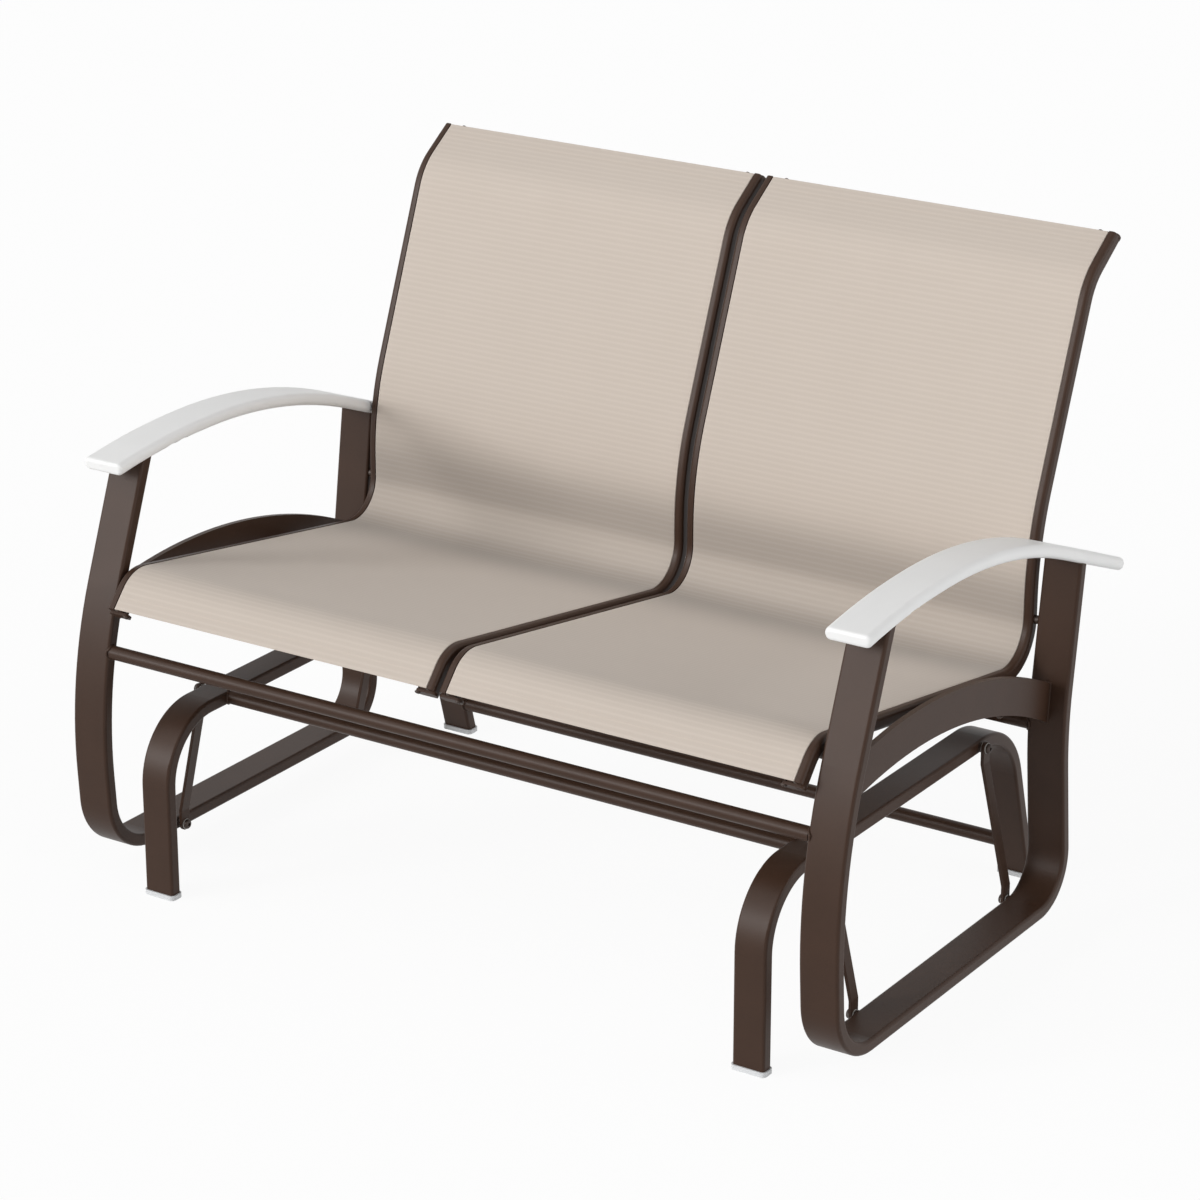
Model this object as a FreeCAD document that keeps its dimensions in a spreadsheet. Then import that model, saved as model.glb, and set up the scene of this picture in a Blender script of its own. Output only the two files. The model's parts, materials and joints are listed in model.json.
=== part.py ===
"""Two-seat sling glider bench: a standing base, four swing links and the hanging seat frame.

Millimetres, +Z up. The bench faces -Y and X runs across it. The origin is on the floor, at the
middle of the overall box. Left is -X, as the bench is seen from the front.
"""

import FreeCAD, Part
import Sketcher
import math
import os
import re

Vector = FreeCAD.Vector
LEFT = -1
RIGHT = 1
SIDES = {"left": LEFT, "right": RIGHT}

# Driving sizes: name, millimetres or degrees, what it is.
SIZES = [
    ("overall_width", 1250, "over the outer edges of the two armrests"),
    ("arm_width", 66, "armrest, across"),
    ("arm_thickness", 18, "armrest, top to underside"),
    ("arm_edge", 8, "rounding of the armrest's long edges"),
    ("arm_end_edge", 5, "rounding round the armrest's two ends"),
    ("arm_top_height", 633, "armrest's highest line above the floor"),
    ("arm_front_y", -368.3, "armrest's front end"),
    ("arm_front_corner_y", -265.3, "where the armrest's front slope would meet its top line"),
    ("arm_rear_corner_y", 9.7, "where its rear slope would meet its top line"),
    ("arm_rear_y", 344.7, "armrest's rear end"),
    ("arm_front_rise", 9, "slope of the armrest at its front end"),
    ("arm_rear_fall", 21.5, "slope of its straight rear stretch"),
    ("arm_front_bend", 1240, "radius of the armrest's top, front"),
    ("arm_rear_bend", 900, "radius of the armrest's top, rear"),
    ("spigot_length", 24, "armrest's spigot inside the tube"),
    ("spigot_clearance", 1, "spigot to the tube's inner walls"),
    ("side_tube_width", 57, "side frame's flat tube, across"),
    ("side_tube_thick", 18.5, "side frame's flat tube, the other way"),
    ("side_tube_wall", 2, "its wall"),
    ("side_tube_corner", 4.5, "its outer corner radius"),
    ("side_rail_height", 42, "middle of the side frame's bottom rail"),
    ("front_knee_y", -419.3, "front upright's knee, where its straights would meet"),
    ("front_knee_height", 305.7, "the same, height"),
    ("front_knee_bend", 640, "front knee's radius"),
    ("front_lean", 21.2, "lean of the front upright above its knee"),
    ("front_low_lean", 3.5, "lean of the front upright below its knee, the other way"),
    ("front_foot_bend", 82.75, "radius between the front upright and the bottom rail"),
    ("rear_foot_bend", 67.5, "radius between the bottom rail and the rear upright"),
    ("rear_knee_y", 192.7, "rear upright's knee, where its straights would meet"),
    ("rear_knee_height", 296, "the same, height"),
    ("rear_knee_bend", 500, "rear knee's radius"),
    ("rear_lean", 8.1, "lean of the rear upright above its knee"),
    ("rear_low_lean", 5.7, "lean of the rear upright below its knee, the other way"),
    ("cross_tube_diameter", 20, "round tubes that join the sides"),
    ("cross_tube_wall", 1.6, "their wall"),
    ("glider_front_tube_height", 349.2, "round tube between the front uprights"),
    ("base_tube_width", 48, "base's flat tube, across"),
    ("base_tube_thick", 19, "base's flat tube, the other way"),
    ("base_tube_wall", 1.8, "its wall"),
    ("base_tube_corner", 4, "its outer corner radius"),
    ("base_rail_height", 260.5, "middle of the base's top rail"),
    ("base_front_foot_y", -401.3, "middle of the base's front leg"),
    ("base_rear_foot_y", 328.3, "middle of its rear leg, carried on to the floor"),
    ("base_rear_splay", 16, "slope of the rear leg"),
    ("base_front_bend", 95.5, "radius over the front leg"),
    ("base_rear_bend", 110.5, "radius over the rear leg"),
    ("base_front_tube_y", -264.3, "round tube under the seat, between the base rails"),
    ("base_rear_tube_height", 52, "round tube between the rear legs"),
    ("glide_height", 7, "foot glide under the tube's end"),
    ("glide_margin", 2.2, "foot glide beyond the tube, each side"),
    ("glide_plug", 16, "foot glide's plug inside the tube"),
    ("glide_clearance", 1, "plug to the tube's inner walls"),
    ("link_gap", 54, "between the base rail and the side frame"),
    ("link_front_y", -264, "front swing pivots"),
    ("link_rear_y", 157, "rear swing pivots"),
    ("link_bar", 18, "swing link's bar, across"),
    ("link_thick", 5, "its thickness"),
    ("link_stand", 7.5, "middle of its flat ends, out from the tube that each hangs on"),
    ("link_flat", 22, "length of its flat ends past the pivots, up to the joggle"),
    ("link_bend", 6, "inside radius of the joggle"),
    ("link_edge", 0.8, "rounding of its long edges"),
    ("bolt_shank", 8, "pivot bolt"),
    ("bolt_head", 14, "pivot bolt's head"),
    ("bolt_head_height", 4.4, "the same, height"),
    ("bolt_socket", 5.6, "hexagon socket in the head, across its corners"),
    ("bolt_bite", 13.5, "how far the pivot bolt reaches into its insert"),
    ("bush_wall", 1.5, "nylon bush in the link's end"),
    ("bush_flange", 1, "its flange, thickness"),
    ("bush_flange_diameter", 15, "its flange, diameter"),
    ("turning_clearance", 0.08, "bolt to bush, at the radius"),
    ("seated_clearance", 0.05, "pieces that sit in each other, at the radius"),
    ("face_clearance", 0.25, "between faces that turn past each other"),
    ("spacer_diameter", 14, "sleeve between link and tube"),
    ("insert_diameter", 11, "threaded insert in the tube's wall"),
    ("insert_flange", 1, "its flange, thickness"),
    ("insert_flange_diameter", 15, "its flange, diameter"),
    ("insert_length", 15, "its length inside the tube's wall"),
    ("arch_thick", 8, "arched seat rail, across"),
    ("arch_depth", 52, "arched seat rail, top to underside"),
    ("arch_radius", 850, "radius of its top edge"),
    ("arch_top_y", -185.3, "its highest point"),
    ("arch_top_height", 449.5, "the same, height"),
    ("arch_inset", 2, "its middle, inboard of the side frame's middle"),
    ("arch_spread", 30, "how far its arc is drawn each way before it is trimmed"),
    ("seat_bar_diameter", 25, "round bars that carry the sling rails"),
    ("seat_bar_wall", 1.6, "their wall"),
    ("seat_bar_front_y", -305.3, "front seat bar"),
    ("seat_bar_rear_y", 69.7, "rear seat bar"),
    ("weld_gap", 0.1, "between welded pieces whose curved faces meet"),
    ("rail_width", 25, "sling rail, across"),
    ("rail_depth", 21, "sling rail, face to back"),
    ("rail_corner", 6, "its corner radius"),
    ("rail_side_gap", 6, "between the outer sling rail and the side frame"),
    ("rail_middle_gap", 7, "between the two inner sling rails"),
    ("rail_neck", 2.4, "slot that the fabric goes into"),
    ("rail_neck_depth", 3.6, "depth of the slot's narrow part"),
    ("rail_slot", 6, "slot's wide part, across"),
    ("rail_slot_depth", 9.4, "bottom of the slot's wide part"),
    ("rail_chamber_top", 11, "hollow chamber behind the slot, near side"),
    ("rail_wall", 2, "sling rail's walls"),
    ("seat_corner_y", -367.9, "front edge of the seat, where its straights would meet"),
    ("seat_corner_height", 469.9, "the same, height"),
    ("seat_fall", 9.1, "slope of the seat down to the back"),
    ("apron_slope", 48.5, "slope of the seat's front edge"),
    ("apron_length", 64, "from the seat's front corner to the end of the rail"),
    ("apron_bend", 56, "radius of the seat's front edge"),
    ("back_corner_y", 199.7, "where the seat line would meet the upright part of the back"),
    ("back_corner_bend", 54.5, "radius between seat and back"),
    ("lumbar_height", 548, "where the back starts to lean, straights carried on"),
    ("lumbar_bend", 400, "radius there"),
    ("back_lean", 21.7, "lean of the back"),
    ("back_length", 368, "from there to the corner under the top"),
    ("top_bend", 95, "radius under the top"),
    ("top_lean", 56, "lean of the top stretch"),
    ("top_length", 87, "from that corner to the end of the rail"),
    ("fabric_thick", 1.5, "sling fabric"),
    ("fabric_drop", 0.2, "fabric below the rail's outer face"),
    ("fabric_end", 1, "fabric's edge short of the rail's ends"),
    ("spline_diameter", 4.6, "cord in the fabric's edge, held in the slot"),
    ("spreader_diameter", 14, "bar between the rail ends"),
    ("spreader_wall", 2, "its wall"),
    ("spreader_inset", 12, "spreader's middle from the rail's end"),
    ("bracket_thick", 4, "plate on each rail end"),
    ("bracket_tab", 8, "how far its tab reaches past the rail"),
    ("bracket_set_back", 7, "plate's near edge behind the rail's face"),
    ("bracket_margin", 0.6, "plate beyond the rail, the other way"),
    ("bracket_plug", 10, "its plug in the rail's chamber"),
    ("plug_clearance", 0.4, "plug to the chamber's walls"),
    ("small_bolt_shank", 4, "spreader bolt"),
    ("small_bolt_head", 8, "spreader bolt's head"),
    ("small_bolt_head_height", 2.4, "the same, height"),
    ("small_bolt_socket", 2.8, "the same, socket"),
    ("small_bolt_length", 14, "spreader bolt under its head"),
    ("rail_screw_shank", 6, "screw through seat bar and rail"),
    ("rail_screw_head", 12, "its head"),
    ("rail_screw_head_height", 4, "the same, height"),
    ("rail_screw_socket", 4, "the same, socket"),
    ("rail_screw_bite", 5, "how far it reaches into the rail"),
    ("hole_clearance", 0.2, "screw to its hole, at the radius"),
    ("cut_margin", 1, "how far a cut starts and ends past a wall's faces"),
    ("arm_screw_drop", 14, "armrest screw below the end of the tube's middle line"),
    ("arm_screw_length", 12, "armrest screw under its head"),
    ("back_bolt_height", 440, "bolt between outer sling rail and rear upright"),
    ("back_bolt_depth", 12.6, "the same, behind the rail's face"),
    ("back_bolt_shank", 5, "that bolt"),
    ("back_bolt_head", 11, "its head"),
    ("back_bolt_head_height", 3.5, "the same, height"),
    ("back_bolt_socket", 4, "the same, socket"),
    ("back_insert_diameter", 9, "its threaded insert"),
    ("back_insert_length", 12, "the same, length"),
    ("back_spacer_diameter", 12, "its spacer"),
]
NAMES = {name for name, _, _ in SIZES}
NO_BEND = "0"
SOLVED = 1e-6

# A bolt's tip chamfer as a share of its shank, and its dome and socket as shares of its head.
TIP_SHARE = 0.1
DOME_SHARE = 0.7
SOCKET_SHARE = 0.6
# A swing link's end corners as a share of its bar, just short of a full half circle.
ROUND_SHARE = 0.49

doc = FreeCAD.newDocument("GliderBench")
sheet = doc.addObject("Spreadsheet::Sheet", "Sizes")
nodes = {}


def fill_sheet():
    """Put each driving size in the sheet: its name, its number and what it is."""
    for row, (name, number, meaning) in enumerate(SIZES, start=1):
        sheet.set(f"A{row}", name)
        sheet.set(f"B{row}", str(number))
        sheet.setAlias(f"B{row}", name)
        sheet.set(f"C{row}", meaning)
    doc.recompute()


def linked(text):
    """Return an expression with each size name pointing at its cell of the sheet."""
    return re.sub(r"[a-z_]+", lambda word: f"Sizes.{word[0]}" if word[0] in NAMES else word[0], text)


def value(text):
    """Return the number that an expression on the sizes has now."""
    return float(sheet.evalExpression(linked(text)))


def bind(item, **texts):
    """Bind properties of an object to expressions on the sizes."""
    for name, text in texts.items():
        item.setExpression(name, linked(text))


def place(item, x="0", y="0", z="0", turn=None):
    """Bind an object's place; turn is its angle about X, in degrees."""
    if turn is not None:
        item.Placement = FreeCAD.Placement(Vector(), FreeCAD.Rotation(Vector(1, 0, 0), 1))
        item.setExpression("Placement.Rotation.Angle", linked(turn))
    for axis, text in (("x", x), ("y", y), ("z", z)):
        item.setExpression(f"Placement.Base.{axis}", linked(text))


def new_body(name, **where):
    """Return an empty body of that name, placed by expressions."""
    body = doc.addObject("PartDesign::Body", name)
    body.Label = name
    place(body, **where)
    return body


def sketch_on(body, role, name, at=None, turn=None):
    """Return a sketch on one of the body's own origin planes.

    at moves it by (x, y, z) expressions, and turn is its angle about X.
    """
    sketch = body.newObject("Sketcher::SketchObject", name)
    plane = next(item for item in body.Origin.OriginFeatures if item.Role == role)
    sketch.AttachmentSupport = (plane, [""])
    sketch.MapMode = "FlatFace"
    if turn is not None:
        sketch.AttachmentOffset = FreeCAD.Placement(Vector(), FreeCAD.Rotation(Vector(1, 0, 0), 1))
        sketch.setExpression("AttachmentOffset.Rotation.Angle", linked(turn))
    for axis, text in zip("xyz", at or ()):
        sketch.setExpression(f"AttachmentOffset.Base.{axis}", linked(text))
    return sketch


def dimension(sketch, kind, ends, text):
    """Add a dimension bound to an expression, and turn it round where it is negative."""
    number = value(text)
    first, second = ends
    if number < 0:
        first, second = second, first
        text = f"-({text})"
    index = sketch.addConstraint(Sketcher.Constraint(kind, *first, *second, abs(number)))
    sketch.setExpression(f"Constraints[{index}]", linked(text))


def pin_point(sketch, point, across, along):
    """Give a sketch point its two coordinates from the sketch's origin."""
    dimension(sketch, "DistanceX", ((-1, 1), point), across)
    dimension(sketch, "DistanceY", ((-1, 1), point), along)


def chain(sketch, corners, closed):
    """Draw straights joined by tangent arcs.

    corners holds (across, along, radius) expressions: the points where the straights would meet,
    and the bend at each. A bend of NO_BEND is a sharp corner.
    """
    points = [Vector(value(across), value(along), 0) for across, along, _ in corners]
    count = len(points)
    arrive = list(points)
    leave = list(points)
    arcs = {}
    for index, (_, _, bend) in enumerate(corners):
        if bend == NO_BEND:
            continue
        point = points[index]
        before = (points[index - 1] - point).normalize()
        after = (points[(index + 1) % count] - point).normalize()
        half = before.getAngle(after) / 2
        radius = value(bend)
        arrive[index] = point + before * (radius / math.tan(half))
        leave[index] = point + after * (radius / math.tan(half))
        centre = point + (before + after).normalize() * (radius / math.sin(half))
        left_turn = before.cross(after).z < 0
        first, last = (arrive[index], leave[index]) if left_turn else (leave[index], arrive[index])
        start = math.atan2(first.y - centre.y, first.x - centre.x)
        end = math.atan2(last.y - centre.y, last.x - centre.x)
        if end < start:
            end += 2 * math.pi
        circle = Part.Circle(centre, Vector(0, 0, 1), radius)
        arc = sketch.addGeometry(Part.ArcOfCircle(circle, start, end))
        arcs[index] = (arc, (1, 2) if left_turn else (2, 1))
    lines = []
    for index in range(count if closed else count - 1):
        segment = Part.LineSegment(leave[index], arrive[(index + 1) % count])
        lines.append(sketch.addGeometry(segment))
    for index, (across, along, bend) in enumerate(corners):
        into = lines[index - 1] if closed or index > 0 else None
        out = lines[index] if index < len(lines) else None
        if bend == NO_BEND:
            if into is not None and out is not None:
                sketch.addConstraint(Sketcher.Constraint("Coincident", into, 2, out, 1))
            pin_point(sketch, (into, 2) if out is None else (out, 1), across, along)
            continue
        arc, (near, far) = arcs[index]
        corner = sketch.addGeometry(Part.Point(points[index]), True)
        sketch.addConstraint([
            Sketcher.Constraint("Tangent", into, 2, arc, near),
            Sketcher.Constraint("Tangent", arc, far, out, 1),
            Sketcher.Constraint("PointOnObject", corner, 1, into),
            Sketcher.Constraint("PointOnObject", corner, 1, out),
        ])
        round_one = sketch.addConstraint(Sketcher.Constraint("Radius", arc, value(bend)))
        sketch.setExpression(f"Constraints[{round_one}]", linked(bend))
        pin_point(sketch, (corner, 1), across, along)


def ring(sketch, diameter, across="0", along="0"):
    """Draw a circle of a bound diameter and place."""
    centre = Vector(value(across), value(along), 0)
    circle = sketch.addGeometry(Part.Circle(centre, Vector(0, 0, 1), value(diameter) / 2))
    index = sketch.addConstraint(Sketcher.Constraint("Diameter", circle, value(diameter)))
    sketch.setExpression(f"Constraints[{index}]", linked(diameter))
    if across == "0" and along == "0":
        sketch.addConstraint(Sketcher.Constraint("Coincident", circle, 3, -1, 1))
    else:
        pin_point(sketch, (circle, 3), across, along)


def rectangle(left, right, low, high, bend=NO_BEND):
    """Return the corners of an upright rectangle from expressions."""
    return [(left, low, bend), (right, low, bend), (right, high, bend), (left, high, bend)]


def flat_tube(width, thick, corner, wall):
    """Return the outer and inner outlines of a flat tube's section, about its middle."""
    outer = rectangle(f"-{width} / 2", f"{width} / 2", f"-{thick} / 2", f"{thick} / 2", corner)
    inner = rectangle(
        f"{wall} - {width} / 2", f"{width} / 2 - {wall}",
        f"{wall} - {thick} / 2", f"{thick} / 2 - {wall}", f"{corner} - {wall}",
    )
    return [outer, inner]


def pad(body, sketch, length, symmetric=False, reverse=False):
    """Add a pad of a bound length to a body."""
    feature = body.newObject("PartDesign::Pad", f"{sketch.Name}_pad")
    feature.Profile = sketch
    feature.SideType = "Symmetric" if symmetric else "One side"
    feature.Reversed = reverse
    bind(feature, Length=length)
    doc.recompute()
    return feature


def pocket(body, sketch, length, symmetric=False, reverse=False):
    """Cut a pocket of a bound length, and make sure that it takes something away."""
    before = body.Shape.Volume
    feature = body.newObject("PartDesign::Pocket", f"{sketch.Name}_cut")
    feature.Profile = sketch
    feature.SideType = "Symmetric" if symmetric else "One side"
    feature.Reversed = reverse
    bind(feature, Length=length)
    doc.recompute()
    if body.Shape.Volume > before - SOLVED:
        raise RuntimeError(f"{feature.Name} cuts nothing")
    return feature


def swept(body, route, section, turn):
    """Carry a section along a route in the YZ plane.

    route holds chain corners from the section's plane on, section a list of closed outlines, and
    turn the angle of the section's plane about X.
    """
    path = sketch_on(body, "YZ_Plane", f"{body.Name}_route")
    chain(path, route, closed=False)
    profile = sketch_on(body, "XY_Plane", f"{body.Name}_section", at=("0", *route[0][:2]), turn=turn)
    for outline in section:
        chain(profile, outline, closed=True)
    doc.recompute()
    pipe = body.newObject("PartDesign::AdditivePipe", f"{body.Name}_tube")
    pipe.Profile = profile
    pipe.Spine = (path, [])
    doc.recompute()
    return pipe


def round_tube(name, diameter, wall, length, **where):
    """Return a body: a straight round tube along X."""
    body = new_body(name, **where)
    section = sketch_on(body, "YZ_Plane", f"{name}_section")
    ring(section, diameter)
    ring(section, f"{diameter} - 2 * {wall}")
    pad(body, section, length, symmetric=True)
    return body


def washer(name, outer, inner, length, reverse=False, **where):
    """Return a body: a sleeve along X from the YZ plane."""
    body = new_body(name, **where)
    section = sketch_on(body, "YZ_Plane", f"{name}_section")
    ring(section, outer)
    ring(section, inner)
    pad(body, section, length, reverse=reverse)
    return body


def turned(name, outline, **where):
    """Return a body turned about the upright axis of its XZ plane."""
    body = new_body(name, **where)
    section = sketch_on(body, "XZ_Plane", f"{name}_section")
    chain(section, outline, closed=True)
    doc.recompute()
    feature = body.newObject("PartDesign::Revolution", f"{name}_turned")
    feature.Profile = section
    feature.ReferenceAxis = (section, ["V_Axis"])
    feature.Angle = 360
    doc.recompute()
    return body


def bolt(name, shank, length, head, height, socket, **where):
    """Return a body: a domed bolt with a hexagon socket.

    Its head stands up from the XY plane and its shank hangs down from it.
    """
    tip = f"{shank} * {TIP_SHARE}"
    body = turned(name, [
        ("0", f"-{length}", NO_BEND),
        (f"{shank} / 2 - {tip}", f"-{length}", NO_BEND),
        (f"{shank} / 2", f"{tip} - {length}", NO_BEND),
        (f"{shank} / 2", "0", NO_BEND),
        (f"{head} / 2", "0", NO_BEND),
        (f"{head} / 2", height, f"{height} * {DOME_SHARE}"),
        ("0", height, NO_BEND),
    ], **where)
    hexagon = sketch_on(body, "XY_Plane", f"{name}_socket", at=("0", "0", height))
    chain(hexagon, [
        (f"{socket} / 2 * cos({60 * side})", f"{socket} / 2 * sin({60 * side})", NO_BEND)
        for side in range(6)
    ], closed=True)
    doc.recompute()
    pocket(body, hexagon, f"{height} * {SOCKET_SHARE}")
    return body


def group(name, members):
    """Keep several like pieces together as one node of separate solids."""
    compound = doc.addObject("Part::Compound", name)
    compound.Label = name
    compound.Links = members
    nodes[name] = compound


def cut(name, base, tool):
    """Return one object with another taken away."""
    result = doc.addObject("Part::Cut", name)
    result.Label = name
    result.Base = base
    result.Tool = tool
    return result


def mirrored(text, side):
    """Return an expression for a place on the left or on the right."""
    return f"-({text})" if side == LEFT else f"({text})"


# Places that several pieces share, as expressions on the sizes.
SIDE_X = "(overall_width - arm_width) / 2"
SIDE_FACE_X = f"({SIDE_X} - side_tube_width / 2)"
BASE_FACE_X = f"({SIDE_FACE_X} - link_gap)"
BASE_X = f"({BASE_FACE_X} - base_tube_width / 2)"
LINK_X = f"({BASE_FACE_X} + link_gap / 2)"
LINK_SHIFT = "(link_gap / 2 - link_stand)"
OUTER_RAIL_X = f"({SIDE_FACE_X} - rail_side_gap - rail_width / 2)"
INNER_RAIL_X = "(rail_middle_gap / 2 + rail_width / 2)"
PIVOTS = {"front": "link_front_y", "rear": "link_rear_y"}
BACK_BOLT_Y = "(back_corner_y + back_bolt_depth)"
RAIL_PLACES = {
    "outer_left": mirrored(OUTER_RAIL_X, LEFT),
    "inner_left": mirrored(INNER_RAIL_X, LEFT),
    "inner_right": mirrored(INNER_RAIL_X, RIGHT),
    "outer_right": mirrored(OUTER_RAIL_X, RIGHT),
}
FABRIC_SIDE = {"outer_left": 1, "inner_left": -1, "inner_right": 1, "outer_right": -1}

# The seat line that the sling rails, their screws and the seat bars share.
BACK_CORNER_Z = "(seat_corner_height - tan(seat_fall) * (back_corner_y - seat_corner_y))"
TOP_CORNER = (
    "(back_corner_y + sin(back_lean) * back_length)",
    "(lumbar_height + cos(back_lean) * back_length)",
)


def rail_front(inset):
    """Return the point on the rail's face a distance in from its front end."""
    reach = f"(apron_length - {inset})"
    return (
        f"(seat_corner_y - cos(apron_slope) * {reach})",
        f"(seat_corner_height - sin(apron_slope) * {reach})",
    )


def rail_top(inset):
    """Return the point on the rail's face a distance in from its top end."""
    reach = f"(top_length - {inset})"
    return (
        f"({TOP_CORNER[0]} + sin(top_lean) * {reach})",
        f"({TOP_CORNER[1]} + cos(top_lean) * {reach})",
    )


def rail_route(inset):
    """Return the rail's face line from its top end to its front end."""
    return [
        (*rail_top(inset), NO_BEND),
        (*TOP_CORNER, "top_bend"),
        ("back_corner_y", "lumbar_height", "lumbar_bend"),
        ("back_corner_y", BACK_CORNER_Z, "back_corner_bend"),
        ("seat_corner_y", "seat_corner_height", "apron_bend"),
        (*rail_front(inset), NO_BEND),
    ]


RAIL_TURN = {"top": "-top_lean", "front": "apron_slope - 90"}
RAIL_END = {"top": rail_top, "front": rail_front}

# The side frame's middle line, from the front upright's top round to the rear upright's top.
FRONT_TOP_Z = "(arm_top_height - arm_thickness)"
FRONT_TOP_Y = f"(front_knee_y + tan(front_lean) * ({FRONT_TOP_Z} - front_knee_height))"
REAR_TOP_Z = (
    "((arm_top_height - arm_thickness / 2 / cos(arm_rear_fall)"
    " - tan(arm_rear_fall) * (rear_knee_y - tan(rear_lean) * rear_knee_height - arm_rear_corner_y))"
    " / (1 + tan(arm_rear_fall) * tan(rear_lean)))"
)
REAR_TOP_Y = f"(rear_knee_y + tan(rear_lean) * ({REAR_TOP_Z} - rear_knee_height))"
FRONT_FOOT_Y = "(front_knee_y + tan(front_low_lean) * (front_knee_height - side_rail_height))"
REAR_FOOT_Y = "(rear_knee_y + tan(rear_low_lean) * (rear_knee_height - side_rail_height))"
UPRIGHT_TOPS = {
    "front": (FRONT_TOP_Y, FRONT_TOP_Z, "front_lean"),
    "rear": (REAR_TOP_Y, REAR_TOP_Z, "rear_lean"),
}
SIDE_ROUTE = [
    (FRONT_TOP_Y, FRONT_TOP_Z, NO_BEND),
    ("front_knee_y", "front_knee_height", "front_knee_bend"),
    (FRONT_FOOT_Y, "side_rail_height", "front_foot_bend"),
    (REAR_FOOT_Y, "side_rail_height", "rear_foot_bend"),
    ("rear_knee_y", "rear_knee_height", "rear_knee_bend"),
    (REAR_TOP_Y, REAR_TOP_Z, NO_BEND),
]

# Middles of the two knees' arcs, which carry the round cross tubes.
FRONT_HALF_TURN = "((front_lean + front_low_lean) / 2)"
FRONT_TILT = "((front_lean - front_low_lean) / 2)"
FRONT_REACH = f"(front_knee_bend / cos({FRONT_HALF_TURN}))"
FRONT_ARC_Y = f"(front_knee_y + {FRONT_REACH} * cos({FRONT_TILT}))"
FRONT_ARC_Z = f"(front_knee_height - {FRONT_REACH} * sin({FRONT_TILT}))"
FRONT_RISE = f"(glider_front_tube_height - {FRONT_ARC_Z})"
FRONT_TUBE_Y = f"({FRONT_ARC_Y} - sqrt(front_knee_bend * front_knee_bend - {FRONT_RISE} * {FRONT_RISE}))"
REAR_HALF_TURN = "((rear_lean + rear_low_lean) / 2)"
REAR_TUBE_Y = f"(rear_knee_y + rear_knee_bend * (1 / cos({REAR_HALF_TURN}) - 1))"


def build_base():
    """Base: two bent flat tubes, two round tubes between them and four foot glides."""
    rear_leg_y = "(base_rear_foot_y - tan(base_rear_splay) * {})"
    low = "(0 - glide_height)"
    route = [
        ("base_front_foot_y", "glide_height", NO_BEND),
        ("base_front_foot_y", "base_rail_height", "base_front_bend"),
        (rear_leg_y.format("base_rail_height"), "base_rail_height", "base_rear_bend"),
        (rear_leg_y.format(low), low, NO_BEND),
    ]
    section = flat_tube("base_tube_width", "base_tube_thick", "base_tube_corner", "base_tube_wall")
    for word, side in SIDES.items():
        name = f"base_side_{word}"
        body = new_body(name, x=mirrored(BASE_X, side))
        swept(body, route, section, turn=None)
        end = sketch_on(body, "YZ_Plane", f"{name}_end")
        middle = rear_leg_y.format("glide_height")
        chain(end, rectangle(
            f"{middle} - base_tube_width", f"{middle} + base_tube_width",
            f"{low} - base_tube_thick", "glide_height",
        ), closed=True)
        pocket(body, end, "base_tube_width * 2", symmetric=True)
        holes = sketch_on(body, "YZ_Plane", f"{name}_holes")
        for along in PIVOTS.values():
            ring(holes, "insert_diameter + 2 * seated_clearance", along, "base_rail_height")
        pocket(body, holes, "base_tube_width", reverse=side == RIGHT)
        nodes[name] = body
    between = f"2 * ({BASE_X} - base_tube_width / 2)"
    nodes["base_front_tube"] = round_tube(
        "base_front_tube", "cross_tube_diameter", "cross_tube_wall", between,
        y="base_front_tube_y", z="base_rail_height",
    )
    nodes["base_rear_tube"] = round_tube(
        "base_rear_tube", "cross_tube_diameter", "cross_tube_wall", between,
        y=rear_leg_y.format("base_rear_tube_height"), z="base_rear_tube_height",
    )
    build_glides(rear_leg_y)


def build_glides(rear_leg_y):
    """Foot glides: a pad under each leg with a plug that stands in the tube."""
    legs = {
        "front": ("base_front_foot_y", "0"),
        "rear": (rear_leg_y.format("glide_height"), "base_rear_splay"),
    }
    for place_word, (leg_y, splay) in legs.items():
        for word, side in SIDES.items():
            name = f"foot_glide_{place_word}_{word}"
            body = new_body(name, x=mirrored(BASE_X, side), y=leg_y)
            pad_sketch = sketch_on(body, "XY_Plane", f"{name}_pad")
            half_x = "(base_tube_width / 2 + glide_margin)"
            half_y = f"(base_tube_thick / 2 / cos({splay}) + glide_margin)"
            chain(pad_sketch, rectangle(
                f"-{half_x}", half_x, f"-{half_y}", half_y, "base_tube_corner + glide_margin",
            ), closed=True)
            pad(body, pad_sketch, "glide_height")
            plug = sketch_on(body, "YZ_Plane", f"{name}_plug")
            half = f"((base_tube_thick / 2 - base_tube_wall - glide_clearance) / cos({splay}))"
            shift = f"tan({splay}) * glide_plug"
            chain(plug, [
                (f"-{half}", "glide_height", NO_BEND),
                (half, "glide_height", NO_BEND),
                (f"{half} - {shift}", "glide_height + glide_plug", NO_BEND),
                (f"-{half} - {shift}", "glide_height + glide_plug", NO_BEND),
            ], closed=True)
            pad(body, plug, "base_tube_width - 2 * (base_tube_wall + glide_clearance)", symmetric=True)
            nodes[name] = body


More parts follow.
